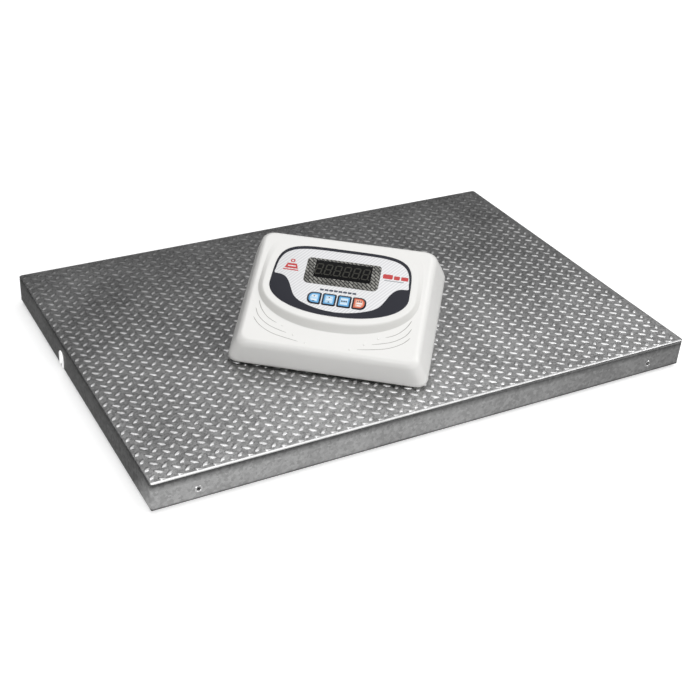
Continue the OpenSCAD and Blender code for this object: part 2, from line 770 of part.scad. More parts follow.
deck_plate();
front_rail();
rear_rail();
left_rail();
right_rail();
stiffener_left();
stiffener_centre();
stiffener_right();
cell_spacers();
load_cell_fl();
load_cell_fr();
load_cell_rl();
load_cell_rr();
gauge_covers();
cell_bolts();
jam_nuts();
foot_stem_fl();
foot_stem_fr();
foot_stem_rl();
foot_stem_rr();
foot_pad_fl();
foot_pad_fr();
foot_pad_rl();
foot_pad_rr();
foot_sole_fl();
foot_sole_fr();
foot_sole_rl();
foot_sole_rr();
cell_cables();
junction_box();
junction_lid();
junction_screws();
cable_glands();
summing_board();
terminal_blocks();
signal_cable();
cable_plug();
coil_ties();
notch_grommet();
upper_housing();
lower_housing();
face_overlay();
display_window();
digit_display();
key_zero();
key_tare();
key_hold();
key_power();
key_switches();
main_board();
board_screws();
battery();
battery_strap();
cell_socket();
power_jack();
switch_frame();
power_rocker();
housing_screws();
indicator_feet();
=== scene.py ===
"""Platform scale with a weighing indicator standing on its tread-plate deck.

Sizes are in millimetres and meshes are scaled to metres as they are made. The platform is centred
on the origin with the floor at z = 0: +X is right, -Y is the front, +Z is up. The indicator has its
own frame, FACE, with its origin at the front left corner, x across, y up the sloping face and z out.
"""
import math
import random
import bpy
import bmesh
from mathutils import Matrix, Vector

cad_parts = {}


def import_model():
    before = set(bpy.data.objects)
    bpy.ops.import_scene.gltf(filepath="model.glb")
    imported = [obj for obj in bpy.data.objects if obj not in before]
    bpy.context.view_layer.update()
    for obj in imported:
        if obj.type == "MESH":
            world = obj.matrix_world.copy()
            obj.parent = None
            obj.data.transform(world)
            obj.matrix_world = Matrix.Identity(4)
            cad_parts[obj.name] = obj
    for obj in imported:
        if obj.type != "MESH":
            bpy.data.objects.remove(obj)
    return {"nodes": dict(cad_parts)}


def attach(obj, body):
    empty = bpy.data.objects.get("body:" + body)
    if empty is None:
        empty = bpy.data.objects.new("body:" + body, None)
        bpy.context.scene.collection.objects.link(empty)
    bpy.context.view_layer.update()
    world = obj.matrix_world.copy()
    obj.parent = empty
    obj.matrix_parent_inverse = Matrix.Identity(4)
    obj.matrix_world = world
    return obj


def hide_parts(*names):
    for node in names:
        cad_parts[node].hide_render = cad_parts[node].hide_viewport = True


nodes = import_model()["nodes"]
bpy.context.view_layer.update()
MM = 0.001
random.seed(7)

# --------------------------------------------------------------- driving sizes
DECK_L, DECK_W, DECK_TOP = 914.4, 609.6, 52.0
HALF_L, HALF_W = DECK_L / 2, DECK_W / 2
FOOT_INSET = 60.0  # centre of a platform foot from the deck's edges
FOOT_X, FOOT_Y = HALF_L - FOOT_INSET, HALF_W - FOOT_INSET

IND_W, IND_L = 305.0, 224.0  # indicator width, and length along its sloping face
CX = IND_W / 2
YAW, TILT = math.radians(-38.3), math.radians(24.0)
BASE = Matrix.Translation((-247.2, -74.8, DECK_TOP + 3)) @ Matrix.Rotation(YAW, 4, "Z")
FACE = BASE @ Matrix.Rotation(TILT, 4, "X")
APRON_H, FACE_H = 44.0, 54.0  # cover height at the front of the apron, and at the face


# --------------------------------------------------------------- outlines
def rounded_rect(x0, y0, x1, y1, radius, steps=6):
    """Anticlockwise outline; radius is one number or four (front left, then anticlockwise)."""
    radii = [radius] * 4 if isinstance(radius, (int, float)) else list(radius)
    points = []
    for cx, cy, start, r in (
        (x0 + radii[0], y0 + radii[0], 180, radii[0]),
        (x1 - radii[1], y0 + radii[1], 270, radii[1]),
        (x1 - radii[2], y1 - radii[2], 0, radii[2]),
        (x0 + radii[3], y1 - radii[3], 90, radii[3]),
    ):
        for k in range(steps + 1):
            angle = math.radians(start + 90.0 * k / steps)
            points.append((cx + r * math.cos(angle), cy + r * math.sin(angle)))
    return points


def centred_rect(cx, cy, width, height, radius, steps=6, grow=0.0):
    """Rounded rectangle about a centre, with every side moved out by grow."""
    return rounded_rect(cx - width / 2 - grow, cy - height / 2 - grow,
                        cx + width / 2 + grow, cy + height / 2 + grow, radius, steps)


def circle(cx, cy, radius, count):
    angles = [2 * math.pi * k / count for k in range(count)]
    return [(cx + radius * math.cos(a), cy + radius * math.sin(a)) for a in angles]


def inset(points, distance):
    """Anticlockwise outline moved inwards by distance."""
    if distance == 0:
        return list(points)
    out = []
    for i in range(len(points)):
        before, here = Vector(points[i - 1]), Vector(points[i])
        after = Vector(points[(i + 1) % len(points)])
        edge_in, edge_out = here - before, after - here
        if edge_in.length < 1e-9:
            edge_in = edge_out
        if edge_out.length < 1e-9:
            edge_out = edge_in
        normal_in = Vector((-edge_in.y, edge_in.x)).normalized()
        normal_out = Vector((-edge_out.y, edge_out.x)).normalized()
        mitre = normal_in + normal_out
        if mitre.length < 1e-6:
            mitre = normal_in
        mitre.normalize()
        # the floor on the cosine keeps sharp corners from shooting out
        moved = here + mitre * (distance / max(0.35, mitre.dot(normal_in)))
        out.append((moved.x, moved.y))
    return out


def catmull(points, steps):
    """Catmull-Rom curve through points, with steps per span."""
    out = []
    padded = [points[0]] + list(points) + [points[-1]]
    for span in zip(padded, padded[1:], padded[2:], padded[3:]):
        for k in range(steps):
            t = k / steps
            out.append(tuple(
                0.5 * (2 * b + (c - a) * t + (2 * a - 5 * b + 4 * c - d) * t * t
                       + (3 * b - a - 3 * c + d) * t ** 3)
                for a, b, c, d in zip(*span)))
    out.append(tuple(points[-1]))
    return out


def blend(a, b, t):
    """Outline a share t of the way from outline a to outline b."""
    return [(p[0] + (q[0] - p[0]) * t, p[1] + (q[1] - p[1]) * t) for p, q in zip(a, b)]


def mirrored(points):
    """Points mirrored across the indicator's centre line."""
    return [(IND_W - x, y) for x, y in points]


def signed_pow(value, exponent):
    return math.copysign(abs(value) ** exponent, value)


# --------------------------------------------------------------- meshes
def make_object(bm, name, frame=None, sharp=35.0, smooth=True, recalc=True):
    """New object from a bmesh in millimetres, placed by frame; sharp is in degrees or None."""
    if recalc:
        bmesh.ops.recalc_face_normals(bm, faces=bm.faces)
    bm.normal_update()
    mesh = bpy.data.meshes.new(name)
    bm.to_mesh(mesh)
    bm.free()
    to_metres = Matrix.Scale(MM, 4)
    mesh.transform(to_metres if frame is None else to_metres @ frame)
    if smooth:
        mesh.shade_smooth()
        if sharp is not None:
            mesh.set_sharp_from_angle(angle=math.radians(sharp))
    return link_object(name, mesh)


def link_object(name, data):
    ob = bpy.data.objects.new(name, data)
    bpy.context.scene.collection.objects.link(ob)
    return ob


def add_ring(bm, outline, z):
    return [bm.verts.new((x, y, z)) for x, y in outline]


def ring_faces(bm, a, b, flip=False):
    for i in range(len(a)):
        j = (i + 1) % len(a)
        quad = (a[i], a[j], b[j], b[i])
        bm.faces.new(tuple(reversed(quad)) if flip else quad)


def skin(bm, rings, closed=False):
    """Faces between successive rings, and from the last back to the first if closed."""
    for a, b in zip(rings, rings[1:]):
        ring_faces(bm, a, b)
    if closed:
        ring_faces(bm, rings[-1], rings[0])


def cap(bm, rings):
    bm.faces.new(tuple(reversed(rings[0])))
    bm.faces.new(tuple(rings[-1]))


def solid(bm, rings):
    skin(bm, rings)
    cap(bm, rings)


def plate(name, outline, z0, z1, holes=(), bevel=0.0):
    """Flat plate on the indicator's face, with holes and a bevelled outer top edge."""
    bm = bmesh.new()

    def loop(points, z):
        verts = add_ring(bm, points, z)
        edges = [bm.edges.new((verts[i], verts[(i + 1) % len(verts)])) for i in range(len(verts))]
        return verts, edges

    top, top_edges = loop(inset(outline, bevel), z1)
    bottom, bottom_edges = loop(outline, z0)
    rings = [bottom, top]
    if bevel > 0:
        bevel_foot, _ = loop(outline, z1 - bevel)
        bevel_middle, _ = loop(inset(outline, bevel * 0.3), z1 - bevel * 0.3)
        rings = [bottom, bevel_foot, bevel_middle, top]
    skin(bm, rings)
    for hole in holes:
        hole_top, edges_above = loop(hole, z1)
        hole_bottom, edges_below = loop(hole, z0)
        ring_faces(bm, hole_bottom, hole_top, flip=True)
        top_edges += edges_above
        bottom_edges += edges_below
    for edges, up in ((top_edges, 1), (bottom_edges, -1)):
        bmesh.ops.triangle_fill(bm, use_beauty=True, use_dissolve=False, edges=edges,
                                normal=(0, 0, up))
    return make_object(bm, name, FACE)


def face_uv(ob):
    """UV map holding each point's place on the sloping face, in units of 100 mm."""
    to_face = FACE.inverted()
    mesh = ob.data
    layer = mesh.uv_layers.new(name="face")
    for corner in mesh.loops:
        p = to_face @ (mesh.vertices[corner.vertex_index].co * 1000)
        layer.data[corner.index].uv = (p.x / 100, p.y / 100)


def dress(ob, material):
    ob.data.materials.clear()
    ob.data.materials.append(MATS[material])


def give(ob, material, body, slot, replaces=None):
    """Material, moving body, product slot (not used) and, where there is one, the CAD piece it
    stands for.
    """
    dress(ob, material)
    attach(ob, body)
    if replaces:
        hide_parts(replaces)


# --------------------------------------------------------------- shader graphs
class Graph:
    """Short calls for building the node tree of a material or world."""

    def __init__(self, owner):
        owner.use_nodes = True
        self.tree = owner.node_tree
        self.nodes = self.tree.nodes

    def feed(self, socket, value):
        """Give a socket a number, an RGB colour or a link."""
        if isinstance(value, (int, float)):
            socket.default_value = value
        elif isinstance(value, tuple):
            socket.default_value = (*value, 1)
        else:
            self.tree.links.new(value, socket)

    def node(self, kind, inputs=None, **settings):
        made = self.nodes.new("ShaderNode" + kind)
        for key, value in settings.items():
            setattr(made, key, value)
        for key, value in (inputs or {}).items():
            self.feed(made.inputs[key], value)
        return made

    def split(self, vector):
        return self.node("SeparateXYZ", {0: vector}).outputs

    def ramp(self, factor, stops):
        """Colour ramp; stops are (position, grey or RGB)."""
        made = self.node("ValToRGB", {"Fac": factor})
        band = made.color_ramp
        while len(band.elements) < len(stops):
            band.elements.new(0.5)
        for element, (position, color) in zip(band.elements, stops):
            element.position = position
            rgb = (color,) * 3 if isinstance(color, (int, float)) else color
            element.color = (*rgb, 1)
        return made.outputs["Color"]

    def mix(self, factor, a, b, blend_type="MIX"):
        made = self.node("Mix", data_type="RGBA", blend_type=blend_type)
        for index, value in ((0, factor), (6, a), (7, b)):
            self.feed(made.inputs[index], value)
        return made.outputs[2]

    def math(self, operation, a, b=0.0, c=None):
        values = (a, b) if c is None else (a, b, c)
        return self.node("Math", dict(enumerate(values)), operation=operation).outputs[0]

    def mix_shader(self, factor, a, b):
        return self.node("MixShader", {0: factor, 1: a, 2: b}).outputs[0]


class MaterialGraph(Graph):
    """Graph of a new material, with textures in object coordinates."""

    def __init__(self, name):
        self.material = bpy.data.materials.new(name)
        super().__init__(self.material)
        self.shader = self.nodes["Principled BSDF"]
        self.coordinates = self.node("TexCoord").outputs

    def noise(self, scale, detail, rough=0.55):
        return self.node("TexNoise", {
            "Scale": scale, "Detail": detail, "Roughness": rough,
            "Vector": self.coordinates["Object"]}).outputs["Fac"]

    def voronoi(self, scale, feature="F1", output="Distance"):
        made = self.node("TexVoronoi", feature=feature)
        self.feed(made.inputs["Scale"], scale)
        self.feed(made.inputs["Vector"], self.coordinates["Object"])
        return made.outputs[output]

    def turned_uv(self, degrees):
        made = self.node("Mapping", {"Vector": self.coordinates["UV"]})
        made.inputs["Rotation"].default_value = (0, 0, math.radians(degrees))
        return made.outputs["Vector"]

    def bump(self, height, strength, distance):
        made = self.node("Bump", {"Strength": strength, "Distance": distance, "Height": height})
        self.feed(self.shader.inputs["Normal"], made.outputs["Normal"])

    def surface(self, color, rough, metallic=0.0, specular=0.5):
        for key, value in (("Base Color", color), ("Roughness", rough),
                           ("Metallic", metallic), ("Specular IOR Level", specular)):
            self.feed(self.shader.inputs[key], value)


# --------------------------------------------------------------- metals
def paint_shade_bands(graph, color, geometry, height, stain):
    """Painted shade: dark bands along the lower edge and under the deck's lip, on upright faces
    only.
    """
    normal = graph.split(geometry["True Normal"])
    upright = graph.ramp(graph.math("MULTIPLY", normal[2], -1.0),
                         [(0.0, 1.0), (0.80, 1.0), (0.97, 0.0)])
    # weaker on faces that look left or right
    facing = graph.ramp(graph.math("ABSOLUTE", normal[1]), [(0.2, 0.25), (0.5, 1.0)])
    upright = graph.math("MULTIPLY", upright, facing)
    # ramp position 1 is 50 mm above the floor; the stain noise wavers the bands
    waver = graph.math("MULTIPLY_ADD", stain, 0.04, -0.02)
    level = graph.math("MULTIPLY_ADD", height, 20.0, waver)
    band_shade = graph.ramp(level, [(0.10, 0.12), (0.155, 0.30), (0.20, 0.92), (0.40, 1.0),
                               (0.72, 1.0), (0.86, 0.62), (0.965, 0.10)])
    return graph.mix(upright, color, graph.mix(1.0, color, band_shade, "MULTIPLY"))


def shade_and_dull_to_rear(graph, color, rough, position, stain, rear_shade):
    """Painted shade, darker towards the rear, and duller there; the last argument holds the rear and
    middle shades.
    """
    across = graph.math("MULTIPLY_ADD", position[1], -1.3, 0.50)
    forward = graph.math("MULTIPLY_ADD", position[0], 0.04, across)
    forward = graph.math("ADD", forward, graph.math("MULTIPLY_ADD", stain, 0.3, -0.15))
    shade = graph.ramp(forward, [(0.0, rear_shade[0]), (0.45, rear_shade[1]), (0.85, 1.0)])
    color = graph.mix(1.0, color, shade, "MULTIPLY")
    dull = graph.ramp(forward, [(0.0, 0.24), (0.6, 0.0)])
    return color, graph.math("ADD", rough, dull)


def paint_edge_highlight(graph, color, position):
    """Painted highlight: bright front edge, beyond 302 mm from the middle, strongest towards the
    left.
    """
    beyond = graph.math("SUBTRACT", graph.math("MULTIPLY", position[1], -1.0), 0.3020)
    edge = graph.ramp(graph.math("MULTIPLY", beyond, 1000.0), [(0.0, 0.0), (0.35, 1.0)])
    strength = graph.math("MULTIPLY_ADD", position[0], -0.85, 0.58)
    return graph.mix(graph.math("MULTIPLY", edge, strength), color, (0.92, 0.92, 0.92))


def metal(name, dark, light, rough, scale=1.0, bump=0.25, weights=(0.25, 0.5, 0.45),
          band_shade=False, rear_shade=None, front_highlight=False):
    """Coated steel: crystal spangle, fine speckle and soft stains, in that order in weights."""
    graph = MaterialGraph(name)
    stain = graph.noise(7 * scale, detail=5, rough=0.6)
    cells = graph.voronoi(230 * scale, output="Color")
    spangle = graph.node("SeparateColor", {0: cells}).outputs[0]
    speckle = graph.noise(620 * scale, detail=4, rough=0.75)
    tone = graph.math("MULTIPLY", spangle, weights[0])
    for texture, weight in ((speckle, weights[1]), (stain, weights[2])):
        tone = graph.math("ADD", tone, graph.math("MULTIPLY", texture, weight))
    mean = 0.5 * sum(weights)
    color = graph.ramp(tone, [(mean - 0.22, dark), (mean + 0.22, light)])
    if band_shade or rear_shade or front_highlight:
        geometry = graph.node("NewGeometry").outputs
        position = graph.split(geometry["Position"])
    # painted shade: dark bands at the foot of upright faces and under the deck's lip
    if band_shade:
        color = paint_shade_bands(graph, color, geometry, position[2], stain)
    roughness = graph.math("MULTIPLY_ADD", tone, rough[1] - rough[0], rough[0])
    # painted shade: darker towards the rear
    if rear_shade:
        color, roughness = shade_and_dull_to_rear(graph, color, roughness, position, stain, rear_shade)
    # painted highlight along the deck's front edge
    if front_highlight:
        color = paint_edge_highlight(graph, color, position)
    graph.surface(color, roughness, metallic=1.0)
    graph.bump(speckle, bump, distance=0.00015)
    return graph.material


# --------------------------------------------------------------- plastics and films
def plastic(name, color, rough, grain, vary, bump, specular=0.5):
    """Fine-grained plastic; grain is the noise scale, vary the share the colour wanders."""
    graph = MaterialGraph(name)
    fine = graph.noise(grain, detail=3, rough=0.6)
    broad = graph.noise(22, detail=3, rough=0.5)
    dark = tuple(c * (1 - vary) for c in color)
    light = tuple(min(1, c * (1 + vary * 0.5)) for c in color)
    tone = graph.math("MULTIPLY_ADD", fine, 0.5, graph.math("MULTIPLY", broad, 0.5))
    graph.surface(graph.mix(tone, dark, light),
                  graph.math("MULTIPLY_ADD", fine, 0.12, rough - 0.06), specular=specular)
    graph.bump(fine, bump, distance=0.00008)
    return graph.material


def glowing_plastic(strength, **look):
    """Plastic lifted by a white emission, a painted glow."""
    material = plastic(**look)
    shader = material.node_tree.nodes["Principled BSDF"]
    shader.inputs["Emission Color"].default_value = (1, 1, 1, 1)
    shader.inputs["Emission Strength"].default_value = strength
    return material


def board_material():
    """Circuit board: pale dots over green patches with lighter lines between them."""
    graph = MaterialGraph("circuit_board")
    dots = graph.voronoi(420)
    lines = graph.ramp(graph.voronoi(260, feature="DISTANCE_TO_EDGE"),
                       [(0.02, (0.10, 0.34, 0.16)), (0.06, (0.015, 0.10, 0.045))])
    outside_dot = graph.ramp(dots, [(0.1, 0.0), (0.14, 1.0)])
    graph.surface(graph.mix(outside_dot, (0.5, 0.5, 0.35), lines), rough=0.3)
    graph.bump(dots, strength=0.1, distance=0.0001)
    return graph.material


def overlay_field_material():
    """Silver-white printed film with a fine diagonal twill."""
    graph = MaterialGraph("overlay_field")
    twill = graph.node("TexWave", {"Scale": 7.4, "Distortion": 0.6, "Detail": 2,
                                   "Vector": graph.turned_uv(38)},
                       wave_type="BANDS", bands_direction="X").outputs["Fac"]
    grain = graph.noise(500, detail=3)
    tone = graph.math("MULTIPLY_ADD", twill, 0.75, graph.math("MULTIPLY", grain, 0.25))
    color = graph.mix(tone, (0.62, 0.62, 0.635), (0.83, 0.83, 0.84))
    graph.surface(color, rough=0.38, specular=0.4)
    graph.bump(twill, strength=0.05, distance=0.00005)
    return graph.material


def weave_material():
    """Dark woven surround of the display: small light and dark ticks in slanting rows."""
    graph = MaterialGraph("display_surround_weave")
    ticks = graph.node("TexBrick", {
        "Scale": 10.4, "Mortar Size": 0.10, "Mortar Smooth": 0.3,
        "Brick Width": 1.15, "Row Height": 0.44,
        "Color1": (0.34, 0.335, 0.31), "Color2": (0.17, 0.168, 0.155),
        "Mortar": (0.014, 0.014, 0.013),
        "Vector": graph.turned_uv(42)}, offset=0.5).outputs
    grain = graph.math("MULTIPLY", graph.noise(420, detail=3), 0.2)
    color = graph.mix(grain, ticks["Color"], (0.10, 0.10, 0.10))
    graph.surface(color, rough=0.5, specular=0.2)
    graph.bump(ticks["Fac"], strength=0.12, distance=0.00008)
    return graph.material


def cover_material():
    """Fine-grained white plastic, greyed by painted shade where the mesh's shade attribute rises."""
    graph = MaterialGraph("cover_white")
    fine = graph.noise(2600, detail=3, rough=0.6)
    broad = graph.noise(22, detail=3, rough=0.5)
    tone = graph.math("MULTIPLY_ADD", fine, 0.5, graph.math("MULTIPLY", broad, 0.5))
    color = graph.mix(tone, (0.775, 0.77, 0.75), (0.81, 0.805, 0.79))
    shade = graph.node("Attribute", attribute_name="shade").outputs["Fac"]
    color = graph.mix(graph.math("MULTIPLY", shade, 0.85), color, (0.56, 0.555, 0.535))
    graph.surface(color, graph.math("MULTIPLY_ADD", fine, 0.12, 0.32))
    graph.bump(fine, strength=0.10, distance=0.00008)
    return graph.material


MATS = {
    # deck and lugs: painted shade, darker towards the rear
    "deck": metal("zinc_tread_plate", dark=(0.20, 0.20, 0.2005), light=(0.62, 0.62, 0.621),
                  rough=(0.36, 0.46), bump=0.9, weights=(0.2, 0.85, 0.4),
                  # painted highlight along the front edge
                  rear_shade=(0.40, 0.50), front_highlight=True),
    # lugs: a paler copy of the deck's zinc, a painted highlight on the lugs
    "lug": metal("zinc_tread_lug", dark=(0.52, 0.52, 0.522), light=(0.92, 0.92, 0.92),
                 rough=(0.27, 0.38), bump=0.15, rear_shade=(0.13, 0.55)),
    # rails: painted shade bands at their foot and under the deck's lip
    "rail": metal("zinc_rail", dark=(0.36, 0.36, 0.36), light=(0.66, 0.66, 0.66),
                  rough=(0.42, 0.55), bump=0.4, band_shade=True),
    # hole rims: a paler, glossier copy of the rail's zinc, a painted highlight
    "hole_rim": metal("zinc_hole_rim", dark=(0.62, 0.62, 0.62), light=(0.92, 0.92, 0.92),
                      rough=(0.25, 0.35), bump=0.1),
    "underframe": metal("zinc_underframe", dark=(0.34, 0.34, 0.345), light=(0.54, 0.54, 0.545),
                        rough=(0.42, 0.58)),
    "plated": metal("plated_steel", dark=(0.52, 0.53, 0.55), light=(0.72, 0.72, 0.73),
                    rough=(0.22, 0.36), scale=3, bump=0.08),
    "alloy": metal("cell_alloy", dark=(0.50, 0.50, 0.52), light=(0.66, 0.66, 0.68),
                   rough=(0.2, 0.34), scale=2, bump=0.1),
    "board": board_material(),
    # notch edging: pale nylon lifted by a painted glow
    "nylon": glowing_plastic(0.55, name="light_nylon_pale", color=(0.90, 0.90, 0.89),
                             rough=0.5, grain=800, vary=0.04, bump=0.1),
    "field": overlay_field_material(),
    "weave": weave_material(),
    "cover": cover_material(),
}

# key: name, colour, roughness, grain, vary, bump and, where not 0.5, specular
PLASTICS = {
    "rubber": ("black_rubber", (0.022, 0.022, 0.023), 0.75, 900, 0.3, 0.3, 0.3),
    "cable": ("cable_sheath", (0.03, 0.03, 0.033), 0.5, 700, 0.2, 0.15),
    "box": ("box_grey", (0.33, 0.35, 0.37), 0.5, 900, 0.08, 0.25),
    "black": ("black_plastic", (0.02, 0.02, 0.022), 0.42, 1200, 0.2, 0.2),
    "green": ("terminal_green", (0.05, 0.30, 0.12), 0.4, 800, 0.1, 0.1),
    "white": ("housing_white", (0.80, 0.795, 0.775), 0.40, 2600, 0.03, 0.10),
    "battery": ("battery_case", (0.10, 0.10, 0.11), 0.5, 1000, 0.15, 0.2),
    "rocker": ("rocker_red", (0.42, 0.02, 0.02), 0.25, 600, 0.06, 0.03),
    "navy": ("overlay_navy", (0.016, 0.017, 0.026), 0.45, 900, 0.25, 0.05, 0.25),
    "line": ("overlay_grey_line", (0.30, 0.31, 0.33), 0.35, 900, 0.1, 0.05),
    "red": ("overlay_red", (0.52, 0.035, 0.035), 0.35, 900, 0.12, 0.05),
    "blue": ("key_film_blue", (0.10, 0.36, 0.66), 0.30, 500, 0.18, 0.06),
    "pale_blue": ("key_film_light", (0.46, 0.67, 0.85), 0.30, 500, 0.10, 0.06),
    "orange": ("key_film_orange", (0.66, 0.13, 0.055), 0.30, 500, 0.15, 0.06),
    "pale_orange": ("key_film_pale_orange", (0.80, 0.42, 0.30), 0.30, 500, 0.10, 0.06),
    "light_mark": ("key_mark_white", (0.80, 0.82, 0.84), 0.35, 500, 0.05, 0.04),
    "dark_mark": ("key_mark_dark", (0.05, 0.06, 0.09), 0.35, 500, 0.15, 0.04),
    "glass": ("smoked_window", (0.004, 0.004, 0.0045), 0.16, 60, 0.2, 0.0, 0.06),
    "segment": ("digit_segment", (0.050, 0.050, 0.043), 0.35, 300, 0.15, 0.02, 0.05),
    "groove": ("cover_groove_shadow", (0.34, 0.33, 0.315), 0.6, 1600, 0.08, 0.1),
}
for key, look in PLASTICS.items():
    MATS[key] = plastic(*look)

# --------------------------------------------------------------- materials of the CAD pieces
CAD_BY_MATERIAL = {
    "rail": ("front_rail", "rear_rail", "left_rail", "right_rail"),
    "deck": ("deck_plate",),
    "underframe": ("cell_spacers",),
    "rubber": ("indicator_feet",),
    "plated": ("gauge_covers", "cell_bolts", "jam_nuts", "junction_screws", "board_screws",
               "housing_screws", "cable_plug", "cell_socket", "battery_strap"),
    "cable": ("cell_cables", "signal_cable"),
    "box": ("junction_box", "junction_lid"),
    "nylon": ("notch_grommet",),
    "board": ("summing_board", "main_board"),
    "green": ("terminal_blocks",),
    "white": ("upper_housing", "lower_housing"),
    "battery": ("battery",),
    "rocker": ("power_rocker",),
}
# first match wins, so the soles come before the other foot pieces
CAD_BY_PREFIX = (("stiffener", "underframe"), ("load_cell", "alloy"),
                 ("foot_sole", "rubber"), ("foot_", "plated"))


def cad_material(name):
    for material, names in CAD_BY_MATERIAL.items():
        if name in names:
            return material
    for prefix, material in CAD_BY_PREFIX:
        if name.startswith(prefix):
            return material
    return "black"


for node_name, node in nodes.items():
    dress(node, cad_material(node_name))

# --------------------------------------------------------------- tread deck
PITCH_X, PITCH_Y = 25.5, 18.25
LUG_L, LUG_W, LUG_H = 14.4, 7.0, 1.35
LUG_START_X, LUG_START_Y = 7.0, 13.0  # first lug from the left and front edges
LUG_ANGLE = 40
LUG_CLIP = 2.6  # no lug reaches nearer the deck's edge
IND_FOOT_CLEAR = 16  # bare radius round each foot of the indicator
# share of the lug's plan, height in 1.3ths of the lug's
LUG_RINGS = ((1.0, -0.15), (0.93, 0.26), (0.74, 0.80), (0.46, 1.16))


def clipped(x, y):
    reach_x, reach_y = HALF_L - LUG_CLIP, HALF_W - LUG_CLIP
    return min(max(x, -reach_x), reach_x), min(max(y, -reach_y), reach_y)


def lug(bm, cx, cy, angle, sides=10):
    c, s = math.cos(angle), math.sin(angle)
    rings = []
    for share, z in LUG_RINGS:
        ring = []
        for k in range(sides):
            t = 2 * math.pi * (k + 0.5) / sides
            along = signed_pow(math.cos(t), 0.9) * LUG_L / 2 * (0.2 + 0.8 * share)
            across = signed_pow(math.sin(t), 1.1) * LUG_W / 2 * share
            x, y = clipped(cx + c * along - s * across, cy + s * along + c * across)
            ring.append(bm.verts.new((x, y, DECK_TOP + z * LUG_H / 1.3)))
        rings.append(ring)
    skin(bm, rings)
    crown = bm.verts.new((*clipped(cx, cy), DECK_TOP + LUG_H))
    for k in range(sides):
        bm.faces.new((rings[-1][k], rings[-1][(k + 1) % sides], crown))
    bm.faces.new(tuple(reversed(rings[0])))


def tread():
    """Raised lugs in alternate directions, left off where the indicator's feet stand."""
    bm = bmesh.new()
    feet = [BASE @ Vector((x, y, 0)) for x in (34, IND_W - 34)
            for y in (34, IND_L * math.cos(TILT) - 36)]
    for j in range(-1, int(DECK_W / PITCH_Y) + 2):
        for i in range(-1, int(DECK_L / PITCH_X) + 2):
            for k in (0, 1):
                x = -HALF_L + LUG_START_X + (i + 0.5 * k) * PITCH_X
                y = -HALF_W + LUG_START_Y + (j + 0.5 * k) * PITCH_Y
                if not (-HALF_L + 4 < x < HALF_L - 4 and -HALF_W + 3.2 < y < HALF_W - 4):
                    continue
                if any((Vector((x, y)) - foot.xy).length < IND_FOOT_CLEAR for foot in feet):
                    continue
                angle = math.radians(-LUG_ANGLE if k else LUG_ANGLE)
                lug(bm, x, y, angle + random.uniform(-0.05, 0.05))
    ob = make_object(bm, "tread_lugs", sharp=None, recalc=False)
    give(ob, "lug", "platform", "tread_plate")


def deck():
    """Deck plate with a rolled upper edge and a shadow groove over the rails."""
    thick, corner = 3.2, 5.0
    edge_w, edge_h, edge_steps = 3.0, 1.8, 9
    bottom = DECK_TOP - thick
    # distance in from the edge, z
    profile = [(0.9, bottom), (0.6, bottom + 0.35), (0.15, bottom + 0.8), (0.0, bottom + 1.0)]
    for k in range(1, edge_steps + 1):
        a = math.radians(90 * k / edge_steps)
        profile.append((edge_w * (1 - math.cos(a)), DECK_TOP - edge_h + edge_h * math.sin(a)))
    bm = bmesh.new()
    rings = [add_ring(bm, rounded_rect(-HALF_L + d, -HALF_W + d, HALF_L - d, HALF_W - d,
                                       max(corner - d * 0.5, 1.0), 8), z) for d, z in profile]
    solid(bm, rings)
    ob = make_object(bm, "deck_tread_plate", sharp=50, recalc=False)
    give(ob, "deck", "platform", "tread_plate", "deck_plate")


tread()
deck()

# --------------------------------------------------------------- rail details
NOTCH_Y, NOTCH_BOTTOM = 77.2, 9.6  # cable notch in the left rail
# x from the rail's outer face, width, top: first over the outside, then back through the slot
EDGING_STATIONS = (
    (-1.35, 17.6, 33.7), (-1.1, 18.7, 34.3), (-0.15, 19.0, 34.5), (-0.05, 15.8, 32.9),
    (2.05, 15.8, 32.9), (2.15, 19.0, 34.5), (3.1, 18.7, 34.3), (3.35, 17.6, 33.7),
    (3.35, 9.6, 28.4), (2.6, 8.2, 27.6), (-0.6, 8.2, 27.6), (-1.35, 9.6, 28.4),
)
HOLE_X, HOLE_Z = 389.0, 22.5  # the two holes in the front rail
# radius, distance out from the rail's face
HOLE_RIM = ((5.6, 0.05), (5.3, 0.3), (4.7, 0.65), (4.1, 0.75), (3.6, 0.55), (3.42, 0.1),
            (3.42, -1.2), (5.6, -0.3))


def arch(width, top, steps=14):
    """Round-topped notch outline, as (y, z)."""
    r = width / 2
    points = [(NOTCH_Y - r, NOTCH_BOTTOM), (NOTCH_Y - r, top - r)]
    for k in range(1, steps):
        a = math.pi * k / steps
        points.append((NOTCH_Y - r * math.cos(a), top - r + r * math.sin(a)))
    return points + [(NOTCH_Y + r, top - r), (NOTCH_Y + r, NOTCH_BOTTOM)]


def notch_edging():
    """Pale edging in the cable notch: two flanges and a neck around a round-topped slot."""
    bm = bmesh.new()
    loops = [[bm.verts.new((-HALF_L + x, y, z)) for y, z in arch(width, top)]
             for x, width, top in EDGING_STATIONS]
    last = len(loops[0]) - 1
    for a, b in zip(loops, loops[1:] + loops[:1]):
        for i in range(last):
            bm.faces.new((a[i], a[i + 1], b[i + 1], b[i]))
    for i in (0, last):
        bm.faces.new([loop[i] for loop in loops])
    ob = make_object(bm, "notch_edging", sharp=40)
    give(ob, "nylon", "platform", "light_nylon", "notch_grommet")


def hole_rims(sides=28):
    """Slightly raised, rounded rims round the two holes in the front rail."""
    bm = bmesh.new()
    for hole_x in (-HOLE_X, HOLE_X):
        loops = [[bm.verts.new((x, -HALF_W - out, z))
                  for x, z in circle(hole_x, HOLE_Z, r, sides)] for r, out in HOLE_RIM]
        skin(bm, loops, closed=True)
    # the rims' paler zinc is a painted highlight on the holes' edges
    ob = make_object(bm, "front_hole_rims", sharp=50)
    give(ob, "hole_rim", "platform", "galvanised_rail")


notch_edging()
hole_rims()

